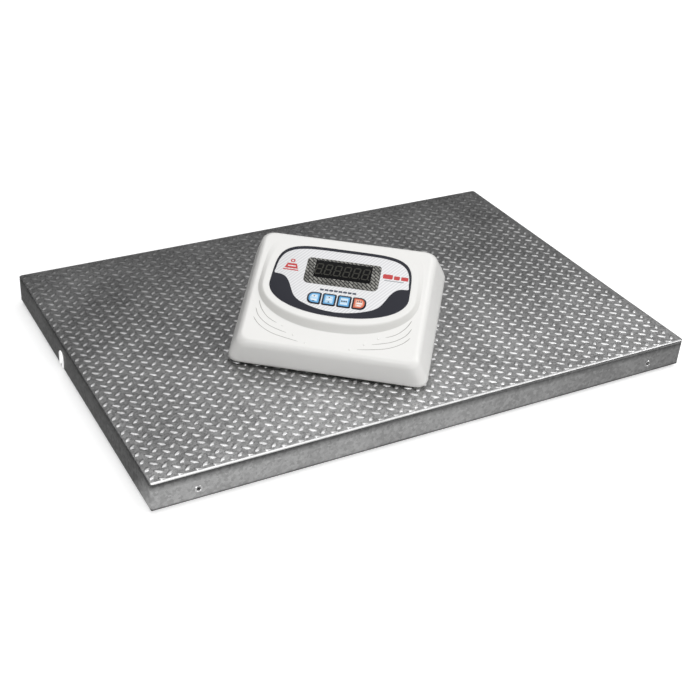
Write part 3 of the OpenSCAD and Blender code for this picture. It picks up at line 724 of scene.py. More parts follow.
# --------------------------------------------------------------- wiring
CELL_X = 299.7  # where the cables leave the load cells
CABLE_Z = 31.8
ENTRY_X = (-327.0, -290.0, -253.0)  # cable entries of the junction box
ENTRY_FRONT, ENTRY_REAR = 46.0, 109.0  # cable ends at the box's front and rear
CELL_PATHS = (
    ((-CELL_X, -FOOT_Y), (-CELL_X + 14, -FOOT_Y), (-CELL_X + 30, -205), (-355, -170),
     (-355, -10), (ENTRY_X[0], 20), (ENTRY_X[0], ENTRY_FRONT)),
    ((CELL_X, -FOOT_Y), (CELL_X - 14, -FOOT_Y), (CELL_X - 40, -200), (-176, -200),
     (-186, -186), (-186, -8), (ENTRY_X[2], 16), (ENTRY_X[2], ENTRY_FRONT)),
    ((-CELL_X, FOOT_Y), (-CELL_X + 12, FOOT_Y), (-CELL_X + 21, 235), (-CELL_X + 21, 221),
     (-CELL_X + 9, 206), (ENTRY_X[0], 189), (ENTRY_X[0], ENTRY_REAR)),
    ((CELL_X, FOOT_Y), (CELL_X - 14, FOOT_Y), (CELL_X - 40, 200), (-172, 200),
     (ENTRY_X[2], 170), (ENTRY_X[2], ENTRY_REAR)),
)
COIL_X, COIL_Y, COIL_R = -270.0, -95.0, 62.0
COIL_STEP = 2.8  # half the distance between the coil's two layers
# path of each end of the signal cable, and its bend radius
COIL_TAILS = (
    (((ENTRY_X[1], ENTRY_FRONT), (ENTRY_X[1], 14), (COIL_X, 0),
      (COIL_X, COIL_Y + COIL_R + 3)), 12),
    (((COIL_X, COIL_Y - COIL_R - 3), (COIL_X, COIL_Y - COIL_R - 18),
      (COIL_X + 14, COIL_Y - COIL_R - 24), (COIL_X + 30, COIL_Y - COIL_R - 24)), 8),
)


def cable_path(points, radius, steps=7):
    """Level polyline at cable height with its corners turned into arcs."""
    points = [Vector((x, y, CABLE_Z)) for x, y in points]
    out = [points[0]]
    for before, corner, after in zip(points, points[1:], points[2:]):
        back, ahead = (before - corner).normalized(), (after - corner).normalized()
        angle = back.angle(ahead)
        if angle > math.radians(176):
            out.append(corner)
            continue
        cut = min(radius / math.tan(angle / 2), (before - corner).length * 0.48,
                  (after - corner).length * 0.48)
        arc_radius = cut * math.tan(angle / 2)
        centre = corner + (back + ahead).normalized() * (arc_radius / math.sin(angle / 2))
        start, end = corner + back * cut - centre, corner + ahead * cut - centre
        sweep = start.angle(end)
        for k in range(steps + 1):
            t = k / steps
            arm = start * math.sin((1 - t) * sweep) + end * math.sin(t * sweep)
            out.append(centre + arm / math.sin(sweep))
    out.append(points[-1])
    return out


def tube(bm, points, radius, sides=14, closed=False):
    """Round cable along level points."""
    rings = []
    count = len(points)
    for i, point in enumerate(points):
        if closed:
            before, after = points[i - 1], points[(i + 1) % count]
        else:
            before, after = points[max(0, i - 1)], points[min(count - 1, i + 1)]
        ahead = (after - before).normalized()
        side = Vector((-ahead.y, ahead.x, 0)).normalized()
        ring = []
        for k in range(sides):
            t = 2 * math.pi * k / sides
            up = Vector((0, 0, radius * math.sin(t)))
            ring.append(bm.verts.new(point + side * (radius * math.cos(t)) + up))
        rings.append(ring)
    skin(bm, rings, closed)
    if not closed:
        cap(bm, rings)


def cell_cables():
    bm = bmesh.new()
    for path in CELL_PATHS:
        tube(bm, cable_path(path, radius=16), radius=2.5)
    ob = make_object(bm, "cell_cable_runs", sharp=50)
    give(ob, "cable", "platform", "cable_sheath", "cell_cables")


def signal_cable(steps=72):
    """Coil of two turns in each of two layers, with its two tails."""
    bm = bmesh.new()
    for spread in (0.0, 2 * COIL_STEP):
        for lift in (-COIL_STEP, COIL_STEP):
            turn = []
            for k in range(steps):
                t = 2 * math.pi * k / steps
                # a slight wobble keeps the turns from looking machined
                r = COIL_R + spread + 0.25 * math.sin(2 * t + spread + lift)
                turn.append(Vector((COIL_X + r * math.cos(t), COIL_Y + r * math.sin(t),
                                    CABLE_Z + COIL_STEP + lift)))
            tube(bm, turn, radius=2.95, sides=12, closed=True)
    for path, bend in COIL_TAILS:
        tube(bm, cable_path(path, bend), radius=2.9)
    ob = make_object(bm, "signal_cable_coil", sharp=50)
    give(ob, "cable", "platform", "cable_sheath", "signal_cable")


cell_cables()
signal_cable()

# --------------------------------------------------------------- platform feet
STEM_SIDES = 24
BALL_R, BALL_Z = 3.2, 6.6
BALL_SWEEP, BALL_STEPS = 141, 12  # degrees from the ball's lowest point up to the neck
NECK = ((2.0, 9.2), (2.0, 9.65))  # radius, z
HEX_HALF = 7.0  # half the width across the flats
HEX_RINGS = ((0.90, 9.6), (1.0, 10.2), (1.0, 13.6), (0.90, 14.2))  # share of corner radius, z
THREAD_Z, THREAD_PITCH, THREAD_R, THREAD_DEPTH = 14.1, 1.5, 4.95, 0.72
THREAD_STEP = 0.25  # height between rings, at least
THREAD_PHASE_Z = 14.0
THREAD_RUNOUT = 5.0  # rings over which the top tapers


def ball_and_neck(bm, cx, cy):
    profile = []
    for k in range(BALL_STEPS + 1):
        a = math.radians(-90 + BALL_SWEEP * k / BALL_STEPS)
        profile.append((max(0.05, BALL_R * math.cos(a)), BALL_Z + BALL_R * math.sin(a)))
    profile += NECK
    solid(bm, [add_ring(bm, circle(cx, cy, r, STEM_SIDES), z) for r, z in profile])


def hexagon(bm, cx, cy):
    """Hexagon with eased corners."""
    corner = HEX_HALF / math.cos(math.radians(30))
    rings = []
    for share, z in HEX_RINGS:
        ring = []
        for k in range(STEM_SIDES):
            a = 2 * math.pi * k / STEM_SIDES
            flat_r = HEX_HALF / math.cos((a % (math.pi / 3)) - math.pi / 6)
            r = min(flat_r, corner * share)
            ring.append(bm.verts.new((cx + r * math.cos(a), cy + r * math.sin(a), z)))
        rings.append(ring)
    solid(bm, rings)


def thread(bm, cx, cy, top):
    """Helical thread up to top, tapering at its end."""
    steps = int((top - THREAD_Z) / THREAD_STEP)
    rings = []
    for i in range(steps + 1):
        z = THREAD_Z + (top - THREAD_Z) * i / steps
        taper = 0.6 * (1 - min(1.0, (steps - i) / THREAD_RUNOUT))
        ring = []
        for k in range(STEM_SIDES):
            a = 2 * math.pi * k / STEM_SIDES
            phase = ((z - THREAD_PHASE_Z) / THREAD_PITCH - k / STEM_SIDES) % 1.0
            r = THREAD_R - THREAD_DEPTH * abs(2 * phase - 1) - taper
            ring.append(bm.verts.new((cx + r * math.cos(a), cy + r * math.sin(a), z)))
        rings.append(ring)
    solid(bm, rings)


def foot_stem(corner, cx, cy):
    """Ball, neck, hexagon and thread, as tall as the CAD stem."""
    cad_name = "foot_stem_" + corner
    cad = nodes[cad_name]
    cad_top = max((cad.matrix_world @ v.co).z * 1000 for v in cad.data.vertices)
    bm = bmesh.new()
    ball_and_neck(bm, cx, cy)
    hexagon(bm, cx, cy)
    thread(bm, cx, cy, cad_top - 0.1)
    ob = make_object(bm, "threaded_stem_" + corner, sharp=28)
    give(ob, "plated", cad_name, "foot_steel", cad_name)


for corner, side_x, side_y in (("fl", -1, -1), ("fr", 1, -1), ("rl", -1, 1), ("rr", 1, 1)):
    foot_stem(corner, FOOT_X * side_x, FOOT_Y * side_y)

# --------------------------------------------------------------- indicator cover
# the pod is the raised plateau of the face: a superellipse, squarer in its upper half
POD_HALF_W, POD_Y, POD_LOW, POD_UP = 107.0, 119.0, 50.5, 77.0
POD_UP_POWER, POD_LOW_POWER = 2 / 4.7, 2 / 2.15
POD_NARROWING = 0.02  # share of width lost at the pod's top

DRAFT_SIDE, DRAFT_FRONT, DRAFT_BACK = 17.0, 8.0, 6.0  # lean of the walls
FILLET = 8.0
WALL = 2.5
RIM_Z = 0.6
WALL_REACH, WALL_CROWN = 0.84, 0.035  # share of the draft taken by the wall, and its crowning
COVER_POINTS = 288
COVER_CENTRE = (CX, IND_L / 2)

BED_Z = FACE_H - 0.35  # recess that takes the printed overlay
KEY_Y, KEY_W, KEY_H, KEY_PITCH = 98.0, 19.0, 20.0, 23.0
KEY_X = [CX + (i - 1.5) * KEY_PITCH for i in range(4)]
WIN_W, WIN_H, WIN_Y = 88.0, 33.0, 154.0

# share of the way from the skirt's foot to its head, share of its height
SKIRT = ((0.03, 0.02), (0.08, 0.08), (0.17, 0.20), (0.32, 0.40), (0.47, 0.59), (0.60, 0.74),
         (0.71, 0.85), (0.81, 0.93), (0.91, 0.98), (1.0, 1.0))


def pod_outline(grow, count=240, grow_x=None):
    """Pod outline moved out by grow, or by grow_x across."""
    grow_x = grow if grow_x is None else grow_x
    points = []
    for k in range(count):
        t = 2 * math.pi * k / count + 0.0013
        upper = math.sin(t) > 0
        power = POD_UP_POWER if upper else POD_LOW_POWER
        reach = (POD_UP if upper else POD_LOW) + grow
        y = reach * signed_pow(math.sin(t), power)
        x = (POD_HALF_W + grow_x) * signed_pow(math.cos(t), power)
        if upper:
            x *= 1 - POD_NARROWING * y / reach
        points.append((CX + x, POD_Y + y))
    return points


def resample(outline):
    """COVER_POINTS points of a closed outline at even polar angles about COVER_CENTRE."""
    centre = Vector(COVER_CENTRE)
    arms = [Vector(p) - centre for p in outline]
    out = []
    for k in range(COVER_POINTS):
        t = 2 * math.pi * k / COVER_POINTS
        ray = Vector((math.cos(t), math.sin(t)))
        best = None
        for a, b in zip(arms, arms[1:] + arms[:1]):
            across = ray.x * (b.y - a.y) - ray.y * (b.x - a.x)
            if abs(across) < 1e-12:
                continue
            reach = (a.x * (b.y - a.y) - a.y * (b.x - a.x)) / across
            share = (a.x * ray.y - a.y * ray.x) / across
            if reach > 0 and -1e-9 <= share <= 1 + 1e-9 and (best is None or reach > best):
                best = reach
        out.append((centre.x + ray.x * best, centre.y + ray.y * best))
    return out


def cover_rect(side, front, back, radius):
    """Cover outline moved in at the sides, front and back."""
    return resample(rounded_rect(side, front, IND_W - side, IND_L - back, radius, 12))


def cover_pod(grow, grow_x=None, back_limit=None):
    """Pod outline for the cover, kept back_limit away from the cover's back edge."""
    points = resample(pod_outline(grow, 960, grow_x))
    if back_limit is None:
        return points
    return [(x, min(y, IND_L - back_limit)) for x, y in points]


def apron_z(y):
    """Height of the apron at y: rising from the front ridge to the rear."""
    t = max(0.0, min(1.0, (y - DRAFT_FRONT) / 196.0))
    return APRON_H + (FACE_H - APRON_H) * (1 - (1 - t) ** 1.25)


def wall_reach(t):
    """Share of the way from base to ridge at share t of the wall's height."""
    return WALL_REACH * (t - WALL_CROWN * math.sin(math.pi * t))


def fill_face(bm, last_ring):
    """Bed of the overlay, with openings for the window and the keys."""
    last = set(last_ring)
    edges = [e for e in bm.edges
             if len(e.link_faces) == 1 and e.verts[0] in last and e.verts[1] in last]
    holes = [centred_rect(CX, WIN_Y, WIN_W, WIN_H, 0.6, 2)]
    holes += [centred_rect(x, KEY_Y, KEY_W, KEY_H, 0.6, 2) for x in KEY_X]
    for hole in holes:
        top = add_ring(bm, hole, BED_Z)
        bottom = add_ring(bm, hole, FACE_H - WALL)
        ring_faces(bm, bottom, top, flip=True)
        edges += [bm.edges.get((top[i], top[(i + 1) % len(top)])) for i in range(len(top))]
    bmesh.ops.triangle_fill(bm, use_beauty=True, use_dissolve=False, edges=edges,
                            normal=(0, 0, 1))


def cover():
    """Upper housing as one skin: inside wall, rim, wall, fillet, apron, skirt and face."""
    bm = bmesh.new()
    shade = bm.verts.layers.float.new("shade")
    base = cover_rect(0, 0, 0, 16)
    ridge = cover_rect(DRAFT_SIDE, DRAFT_FRONT, DRAFT_BACK, 16)
    apron_edge = cover_rect(DRAFT_SIDE + FILLET * 0.85, DRAFT_FRONT + FILLET * 0.95,
                            DRAFT_BACK + FILLET * 0.9, 13)
    skirt_foot = cover_pod(24, grow_x=17.5, back_limit=21)
    skirt_head = cover_pod(9.5, grow_x=9, back_limit=23)
    inside = cover_rect(WALL, WALL, WALL, 13.5)
    inside_ridge = cover_rect(DRAFT_SIDE + WALL, DRAFT_FRONT + WALL, DRAFT_BACK + WALL, 13.5)
    rings = []

    def place(outline, heights):
        """Add a ring at one height, or at a height for each point."""
        if isinstance(heights, float):
            heights = [heights] * len(outline)
        rings.append([bm.verts.new((x, y, z)) for (x, y), z in zip(outline, heights)])

    place(blend(inside, inside_ridge, 0.7), 30.0)
    place(inside, RIM_Z)
    for share, z in ((0.12, 0.15), (0.5, 0.0), (0.86, 0.12)):
        place(blend(inside, base, share), z)
    place(base, RIM_Z)

    # drafted wall, slightly crowned
    for k in range(1, 8):
        t = k / 7.5
        wall_top = blend(base, ridge, wall_reach(t))
        wall_z = [RIM_Z + (apron_z(y) - FILLET - RIM_Z) * t for _, y in ridge]
        place(wall_top, wall_z)

    # fillet from the wall over to the apron
    fillet_steps = 10
    for k in range(1, fillet_steps + 1):
        a = math.radians(90 * k / fillet_steps)
        rise, turn = math.sin(a), 1 - math.cos(a)
        share = min(1.0, turn + 0.32 * rise * (1 - turn))
        place(blend(wall_top, apron_edge, share),
              [z + (apron_z(y) - z) * rise for z, (_, y) in zip(wall_z, apron_edge)])

    for share in (0.12, 0.3, 0.5, 0.7, 0.86, 0.95, 1.0):
        outline = blend(apron_edge, skirt_foot, share)
        place(outline, [apron_z(y) for _, y in outline])

    # skirt of the pod: a soft foot, a steep middle and a rolled upper edge
    foot_z = [apron_z(y) for _, y in skirt_foot]
    for t, rise in SKIRT:
        place(blend(skirt_foot, skirt_head, t), [z + (FACE_H - z) * rise for z in foot_z])
        # the shade attribute marks painted shade on the skirt, greying the cover there
        fade = min(1.0, t / 0.06) * min(1.0, (1.0 - t) / 0.3)
        for vert, z in zip(rings[-1], foot_z):
            vert[shade] = max(0.0, min(1.0, (FACE_H - z) / 5.0)) * fade

    for grow in (6.0, 3.0, 1.0):
        place(cover_pod(grow, back_limit=24), FACE_H)
    for grow, z in ((0.45, FACE_H - 0.06), (0.3, BED_Z), (-2.5, BED_Z)):
        place(cover_pod(grow), z)
    skin(bm, rings)
    fill_face(bm, rings[-1])
    ob = make_object(bm, "indicator_cover", FACE, sharp=60)
    give(ob, "cover", "indicator", "housing_white", "upper_housing")


cover()

# --------------------------------------------------------------- grooves of the apron
# left grooves, mirrored on the right: points along each, then the pip at its end
GROOVES = (
    (((36, 84), (43, 70), (55, 57), (70, 49)), (80, 45.5)),
    (((34, 70), (42, 56), (60, 43), (88, 34)), (99, 32)),
    (((34, 54), (45, 42), (68, 30), (108, 22)), (119, 20.5)),
)
GROOVE_W = 1.35
PIP_R = 1.6
STRIP_SINK, STRIP_ROOT = 0.02, 0.4  # strip level below the apron, and the strip's depth


def strip(bm, path, width, thick, taper):
    """Thin strip along a path on the apron, narrowing at its ends if taper."""
    count = len(path)
    left, right = [], []
    for i, (x, y) in enumerate(path):
        before, after = path[max(0, i - 1)], path[min(count - 1, i + 1)]
        ahead = Vector((after[0] - before[0], after[1] - before[1])).normalized()
        half = width / 2
        if taper:
            half *= 0.35 + 0.65 * min(1.0, min(i, count - 1 - i) / max(1, count * 0.12))
        z = apron_z(y) - STRIP_SINK
        left.append((x - ahead.y * half, y + ahead.x * half, z))
        right.append((x + ahead.y * half, y - ahead.x * half, z))
    outline = right + left[::-1]
    top = [bm.verts.new((x, y, z + thick)) for x, y, z in outline]
    bottom = [bm.verts.new((x, y, z - STRIP_ROOT)) for x, y, z in outline]
    last = len(top) - 1
    for i in range(count - 1):
        bm.faces.new((top[i], top[i + 1], top[last - 1 - i], top[last - i]))
        bm.faces.new((bottom[last - i], bottom[last - 1 - i], bottom[i + 1], bottom[i]))
    ring_faces(bm, bottom, top)


def finish_strip(bm, name, material):
    ob = make_object(bm, name, FACE, sharp=50)
    give(ob, material, "indicator", "housing_white")
    face_uv(ob)


def groove(name, path):
    bm = bmesh.new()
    strip(bm, path, GROOVE_W, thick=0.03, taper=True)
    finish_strip(bm, name, "groove")


def pip(name, x, y):
    """Low round dot over a short strip."""
    thick = 0.3
    bm = bmesh.new()
    strip(bm, [(x - 0.3, y), (x + 0.3, y)], 0.6, thick, taper=False)
    z = apron_z(y) - STRIP_SINK
    rings = [add_ring(bm, circle(x, y, PIP_R * share, 16), z + lift) for share, lift in (
        (1.0, -STRIP_ROOT), (1.0, thick * 0.4), (0.8, thick * 1.6), (0.4, thick * 2.6))]
    skin(bm, rings)
    bm.faces.new(tuple(rings[-1]))
    bm.faces.new(tuple(reversed(rings[0])))
    finish_strip(bm, name, "white")


groove_count = 0
for groove_points, pip_place in GROOVES:
    groove_path = catmull(groove_points, 10)
    for path, (pip_x, pip_y) in ((groove_path, pip_place),
                                 (mirrored(groove_path), mirrored([pip_place])[0])):
        groove_count += 1
        groove("cover_groove_%d" % groove_count, path)
        pip("cover_pip_%d" % groove_count, pip_x, pip_y)

# --------------------------------------------------------------- overlay
PRINT_Z = FACE_H + 0.2  # top of the overlay's film
WINDOW_HOLE = centred_rect(CX, WIN_Y, WIN_W, WIN_H, 1.2, 4)
# corner radii of each key, left to right: the outer corners of the row are rounder
KEY_RADII = ((8.0, 1.6, 1.6, 8.0), (1.6,) * 4, (1.6,) * 4, (1.6, 8.0, 8.0, 1.6))
# left lower edge of the silver field, from the side down to the centre line
SWOOSH = ((48.9, 140.0), (49.0, 136.8), (51.5, 135.4), (61, 134.4), (69.0, 129.5),
          (75.3, 120.5), (80, 110.5), (86.3, 98.5), (95, 90.6), (106, 85.4), (119, 81),
          (135, 77.8), (CX, 76.4))


def key_outline(i, grow):
    """Outline of key i, moved out by grow from its opening."""
    radii = [r + grow for r in KEY_RADII[i]]
    return centred_rect(KEY_X[i], KEY_Y, KEY_W, KEY_H, radii, grow=grow)


def field_edge():
    """Inner edge of the navy border: a plain band over the top and sides, swooshes below."""
    band_top, band_side, band_end = 5.4, 3.3, 141
    upper = []
    for k in range(121):
        t = math.pi * k / 120
        y = (POD_UP - band_top) * signed_pow(math.sin(t), POD_UP_POWER)
        x = (POD_HALF_W - band_side) * signed_pow(math.cos(t), POD_UP_POWER)
        x *= 1 - POD_NARROWING * y / POD_UP
        if POD_Y + y > band_end:
            upper.append((CX + x, POD_Y + y))
    left = catmull(SWOOSH, 8)
    return upper + left + mirrored(reversed(left[:-1]))


def overlay_plate(name, material, outline, z0, z1, holes, bevel, replaces=None):
    ob = plate(name, outline, z0, z1, holes, bevel)
    give(ob, material, "indicator", "overlay_print", replaces)
    face_uv(ob)


def overlay():
    """Silver field, navy border, key surrounds and the woven display surround."""
    overlay_plate("overlay_field", "field", pod_outline(0.15), BED_Z, PRINT_Z,
                  [WINDOW_HOLE] + [key_outline(i, 0.0) for i in range(4)], bevel=0.1,
                  replaces="face_overlay")
    overlay_plate("overlay_border", "navy", pod_outline(0.1), PRINT_Z, FACE_H + 0.32,
                  [field_edge()], bevel=0.05)
    for i in range(4):
        overlay_plate("key_surround_%d" % (i + 1), "navy", key_outline(i, 1.15), PRINT_Z,
                      FACE_H + 0.34, [key_outline(i, 0.02)], bevel=0.05)
    overlay_plate("display_surround", "weave",
                  rounded_rect(95, 124.5, 210, 173.8, (8, 8, 6, 6), 8), PRINT_Z,
                  FACE_H + 0.42, [WINDOW_HOLE], bevel=0.1)


overlay()

# --------------------------------------------------------------- display
PANE_TOP = FACE_H + 0.25
DIGIT_H, DIGIT_W, SEGMENT_W, DIGIT_PITCH = 21.0, 11.2, 2.1, 14.5
DIGIT_LEAN = math.tan(math.radians(8))
SEGMENT_GAP = 0.5
SEGMENT_RISE = 0.05  # above and below the pane's top


def window_pane():
    outline = centred_rect(CX, WIN_Y, WIN_W, WIN_H, 1.1, 4, grow=-0.1)
    ob = plate("window_pane", outline, FACE_H - 2.0, PANE_TOP, bevel=0.15)
    give(ob, "glass", "indicator", "smoked_window", "display_window")


def thin_prism(bm, outline):
    low = add_ring(bm, outline, PANE_TOP - SEGMENT_RISE)
    high = add_ring(bm, outline, PANE_TOP + SEGMENT_RISE)
    ring_faces(bm, low, high)
    bm.faces.new(high)
    bm.faces.new(tuple(reversed(low)))


def segment(bm, cx, cy, length, level):
    """Six-sided bar with pointed ends, level or upright, leaning with its digit."""
    g = SEGMENT_W / 2
    end = length / 2
    if level:
        points = ((-end, 0), (-end + g, -g), (end - g, -g), (end, 0), (end - g, g), (-end + g, g))
    else:
        points = ((0, -end), (g, -end + g), (g, end - g), (0, end), (-g, end - g), (-g, -end + g))
    thin_prism(bm, [(cx + x + (cy + y - WIN_Y) * DIGIT_LEAN, cy + y) for x, y in points])


def digits():
    """Six unlit seven-segment digits with points, leaning a little."""
    bm = bmesh.new()
    half_w, half_h = DIGIT_W / 2 - SEGMENT_W / 2, DIGIT_H / 2 - SEGMENT_W / 2
    for i in range(6):
        x = CX + (i - 2.5) * DIGIT_PITCH - 1.0
        for rise in (-half_h, 0, half_h):
            segment(bm, x, WIN_Y + rise, DIGIT_W - SEGMENT_W - SEGMENT_GAP, level=True)
        for side in (-1, 1):
            for end in (-1, 1):
                segment(bm, x + side * half_w, WIN_Y + end * half_h / 2,
                        half_h - SEGMENT_GAP, level=False)
        thin_prism(bm, circle(x + DIGIT_W / 2 + 0.2, WIN_Y - DIGIT_H / 2 + 1.1, 1.05, 12))
    ob = make_object(bm, "digit_segments", FACE, smooth=False)
    give(ob, "segment", "indicator", "smoked_window")


window_pane()
digits()


# --------------------------------------------------------------- flat marks
def mark_outline(shape, cx=0.0, cy=0.0):
    """Outline of a polygon of points, or of a bar (x0, y0, x1, y1, radius), about (cx, cy)."""
    if isinstance(shape[0], tuple):
        return [(cx + x, cy + y) for x, y in shape]
    x0, y0, x1, y1, radius = shape
    return rounded_rect(cx + x0, cy + y0, cx + x1, cy + y1, radius)


def marks(name, outlines, z0, z1, material, body, slot):
    """Several thin plates as one piece."""
    bm = bmesh.new()
    for i, outline in enumerate(outlines):
        part = plate(name + "_%d" % i, outline, z0, z1)
        mesh = part.data
        bm.from_mesh(mesh)
        bpy.data.objects.remove(part)
        bpy.data.meshes.remove(mesh)
    mesh = bpy.data.meshes.new(name)
    bm.to_mesh(mesh)
    bm.free()
    ob = link_object(name, mesh)
    give(ob, material, body, slot)
    face_uv(ob)


# --------------------------------------------------------------- keys
KEY_GAP = 0.6  # key smaller than its opening, in all
# name, film, paler middle, slot, light marks, dark marks; marks are about the key's centre
KEYS = (
    ("zero", "blue", "pale_blue", "key_blue",
     ((-3.6, 1.6, 3.4, 5.0, 1.4), (-4.4, -4.6, 4.0, -2.6, 0.8)),
     ((-1.2, 2.4, 1.2, 4.2, 0.7), (-1.9, -6.4, 1.9, -5.2, 0.4))),
    ("tare", "blue", "pale_blue", "key_blue",
     ((-4.2, -1.0, 4.2, 1.2, 0.8), (-3.0, 3.0, 3.0, 5.2, 0.9)),
     (((-2.0, 4.8), (-0.2, 2.4), (2.0, 4.8)), ((-2.0, -5.8), (2.0, -5.8), (0, -3.2)))),
    ("hold", "blue", "pale_blue", "key_blue",
     ((-5.4, 3.4, 5.4, 4.6, 0.5), (-5.4, -4.8, 5.4, -3.6, 0.5)),
     ((-4.6, -1.1, -1.9, 1.3, 0.5), (-1.2, -1.1, 1.4, 1.3, 0.5), (2.1, -1.1, 4.6, 1.3, 0.5))),
    ("power", "orange", "pale_orange", "key_orange",
     ((-4.2, -1.0, 4.2, 1.0, 0.8), (-3.2, -5.2, 3.2, -3.6, 0.6)),
     ((-0.7, 2.2, 0.7, 5.6, 0.5), (-3.4, 2.0, -2.0, 4.6, 0.5), (2.0, 2.0, 3.4, 4.6, 0.5))),
)


def key(i, name, film, middle, slot, light, dark):
    """Cap, coloured film, paler middle and the marks on it."""
    body = "key_" + name

    def layer(prefix, material, margin, z0, z1, bevel, replaces=None):
        radii = [max(0.6, r - margin * 0.7) for r in KEY_RADII[i]]
        outline = centred_rect(KEY_X[i], KEY_Y, KEY_W - KEY_GAP, KEY_H - KEY_GAP, radii,
                               grow=-margin)
        ob = plate(prefix + name, outline, FACE_H + z0, FACE_H + z1, bevel=bevel)
        give(ob, material, body, slot, replaces)
        return ob

    face_uv(layer("keycap_", "navy", margin=0, z0=-3.2, z1=1.0, bevel=0.5, replaces=body))
    layer("keyfilm_", film, margin=1.15, z0=0.95, z1=1.06, bevel=0.04)
    layer("keyglow_", middle, margin=3.3, z0=1.03, z1=1.10, bevel=0.03)
    z0, z1 = FACE_H + 1.08, FACE_H + 1.14
    # the dark marks stand a hair higher than the light ones
    for tone, shapes, top in (("light", light, z1), ("dark", dark, z1 + 0.01)):
        outlines = [mark_outline(shape, KEY_X[i], KEY_Y) for shape in shapes]
        marks("keymark_%s_%s" % (tone, name), outlines, z0, top, tone + "_mark", body, slot)


for i, spec in enumerate(KEYS):
    key(i, *spec)

# --------------------------------------------------------------- label marks
DASH_X, DASH_PITCH, DASH_W = 124, 7.1, 6.0
DASHES = [(DASH_X + k * DASH_PITCH, 113.6, DASH_X + k * DASH_PITCH + DASH_W, 117.0, 1.3)
          for k in range(8)]
# name, material, bottom and top above PRINT_Z, shapes on the face
LABEL_MARKS = (
    # a weight symbol: a trapezoid with a round knob and a bar below, then its pale openings
    ("label_mark_left", "red", 0.0, 0.1,
     (((62, 148), (83, 148), (80, 157.5), (65.5, 157.5)),
      (69.2, 159.6, 76.4, 166.2, 3.2), (60.5, 144.2, 84.5, 146.2, 0.9))),
    ("label_mark_left_window", "field", 0.1, 0.14,
     ((71.3, 161.2, 74.3, 164.6, 1.4), (66.6, 151.6, 79.0, 153.6, 0.9))),
    ("label_bars_right", "red", 0.0, 0.1,
     ((214, 151.5, 229, 160, 1.6), (231, 151.5, 240, 158.5, 1.4),
      (242, 151.5, 253, 158.5, 1.4))),
    ("label_rule_right", "line", 0.0, 0.1, ((217, 147.6, 247, 149.0, 0.6),)),
    ("label_dashes", "dark_mark", 0.0, 0.1, DASHES),
)
for name, material, bottom, top, shapes in LABEL_MARKS:
    marks(name, [mark_outline(shape) for shape in shapes], PRINT_Z + bottom, PRINT_Z + top,
          material, "indicator", "overlay_print")


# --------------------------------------------------------------- floor
def floor_material():
    """Near white to the camera, a dimmer grey to other rays, and clear from below."""
    graph = MaterialGraph("pale_floor")
    tone = graph.mix(graph.noise(3, detail=3), (0.90, 0.90, 0.90), (0.93, 0.93, 0.93))
    graph.surface(tone, rough=0.95, specular=0.0)
    camera_ray = graph.node("LightPath").outputs["Is Camera Ray"]
    geometry = graph.node("NewGeometry").outputs
    position = graph.split(geometry["Position"])
    # in reflections: brighter in front of the platform, dimming towards the right
    ahead = graph.ramp(graph.math("MULTIPLY_ADD", position[1], -4.0, -0.9),
                       [(0.0, 0.0), (0.25, 1.0)])
    across = graph.ramp(graph.math("MULTIPLY_ADD", position[0], 1.0, 0.5),
                        [(0.0, 0.72), (0.5, 0.62), (1.0, 0.26)])
    bounce = graph.mix(ahead, (0.12, 0.12, 0.12), across)
    # soft light on the underframe, inside the platform's footprint only
    inside_x = graph.math("LESS_THAN", graph.math("ABSOLUTE", position[0]), 0.44)
    inside_y = graph.math("LESS_THAN", graph.math("ABSOLUTE", position[1]), 0.288)
    bounce = graph.mix(graph.math("MULTIPLY", inside_x, inside_y), bounce, (0.85, 0.85, 0.85))
    bounce_light = graph.node("Emission", {"Color": bounce}).outputs[0]
    lift = graph.node("Emission", {"Color": (0.30, 0.30, 0.30)}).outputs[0]
    seen = graph.node("AddShader", {0: graph.shader.outputs[0], 1: lift}).outputs[0]
    upper = graph.mix_shader(camera_ray, bounce_light, seen)
    clear = graph.node("BsdfTransparent").outputs[0]
    floor = graph.mix_shader(geometry["Backfacing"], upper, clear)
    graph.feed(graph.nodes["Material Output"].inputs["Surface"], floor)
    return graph.material


def stage():
    reach = 9000
    bm = bmesh.new()
    corners = ((-reach, -reach), (reach, -reach), (reach, reach), (-reach, reach))
    bm.faces.new(add_ring(bm, corners, 0))
    floor = make_object(bm, "floor", smooth=False, recalc=False)
    floor.data.materials.append(floor_material())


stage()


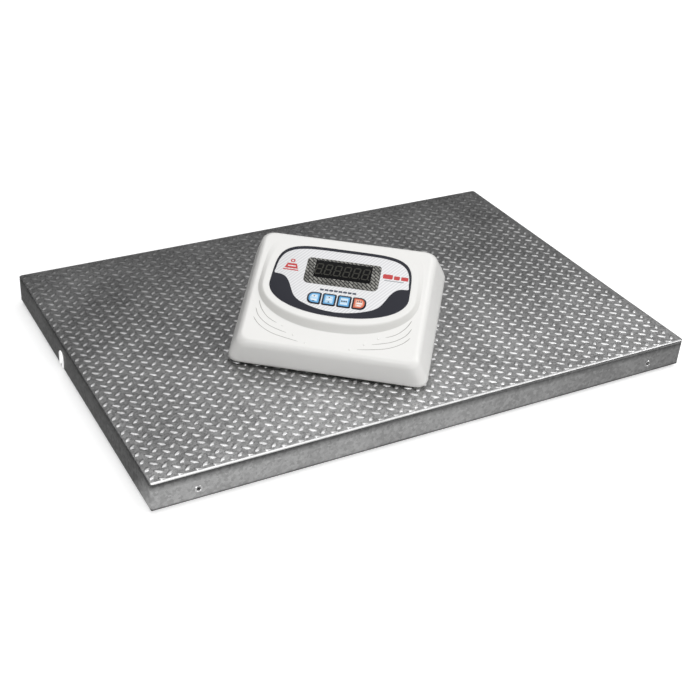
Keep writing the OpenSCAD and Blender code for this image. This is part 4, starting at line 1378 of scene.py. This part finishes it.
# --------------------------------------------------------------- world
def studio():
    """White to the camera; for light and reflections a soft sky, brightest overhead."""
    world = bpy.data.worlds.new("studio")
    bpy.context.scene.world = world
    graph = Graph(world)
    direction = graph.split(graph.node("TexCoord").outputs["Generated"])
    low = graph.ramp(direction[2], [(0.0, 0.20), (0.30, 0.10), (0.42, 0.14), (0.50, 0.36),
                                    (0.60, 0.62), (0.75, 0.0)])
    high = graph.ramp(direction[2], [(0.60, 0.0), (0.78, 1.0)])
    # 0 is far left and 1 far right
    rightward = graph.math("ADD", graph.math("MULTIPLY", direction[0], 0.5), 0.5)
    side = graph.ramp(rightward, [(0.0, 0.25), (0.5, 0.25), (0.63, 0.40), (0.735, 1.0),
                                  (0.80, 0.72), (1.0, 0.72)])
    # 0 is the back and 1 the front
    forward = graph.math("ADD", graph.math("MULTIPLY", direction[1], -0.5), 0.5)
    front = graph.ramp(forward, [(0.0, 0.9), (0.5, 1.0), (1.0, 2.2)])
    low_sky = graph.math("MULTIPLY", graph.math("MULTIPLY", low, side), front)
    sky_color = graph.math("ADD", low_sky, high)
    sky = graph.node("Background", {"Color": sky_color, "Strength": 1.35})
    backdrop = graph.nodes["Background"]
    graph.feed(backdrop.inputs["Color"], (1, 1, 1))
    graph.feed(backdrop.inputs["Strength"], 1.0)
    camera_ray = graph.node("LightPath").outputs["Is Camera Ray"]
    mixed = graph.mix_shader(camera_ray, sky.outputs[0], backdrop.outputs[0])
    graph.feed(graph.nodes["World Output"].inputs["Surface"], mixed)


studio()


# --------------------------------------------------------------- lights and camera, in metres
def area(name, place, target, size, power):
    light = bpy.data.lights.new(name, "AREA")
    light.shape = "RECTANGLE"
    light.size, light.size_y = size
    light.energy = power
    ob = link_object(name, light)
    ob.location = place
    aim = Vector(target) - Vector(place)
    ob.rotation_euler = aim.to_track_quat("-Z", "Y").to_euler()


area("key", place=(-0.3, -1.9, 3.0), target=(0, 0, 0), size=(1.6, 1.6), power=4)
area("front", place=(-1.9, -2.4, 0.9), target=(0, -0.1, 0.1), size=(1.2, 0.8), power=30)
area("side", place=(1.9, -1.5, 1.1), target=(0, -0.1, 0.1), size=(1.0, 0.8), power=20)

CAMERA_PLACE = (-0.8817720556, -1.4825113235, 1.0516885914)
# the camera's own axes
CAMERA_RIGHT = (0.8839906, -0.46474914, 0.05068393)
CAMERA_UP = (0.2097599, 0.49117948, 0.84542504)
CAMERA_BACK = (-0.41780547, -0.73671633, 0.53168377)


def camera():
    data = bpy.data.cameras.new("camera")
    ob = link_object("camera", data)
    axes = Matrix((CAMERA_RIGHT, CAMERA_UP, CAMERA_BACK)).transposed().to_4x4()
    ob.matrix_world = Matrix.Translation(CAMERA_PLACE) @ axes
    data.sensor_width = 36
    data.lens = 62.3192914
    data.shift_x = 0.041017143
    data.shift_y = -0.0027928571
    data.clip_start = 0.05
    data.clip_end = 50
    bpy.context.scene.camera = ob


camera()
bpy.context.scene.view_settings.view_transform = "Standard"
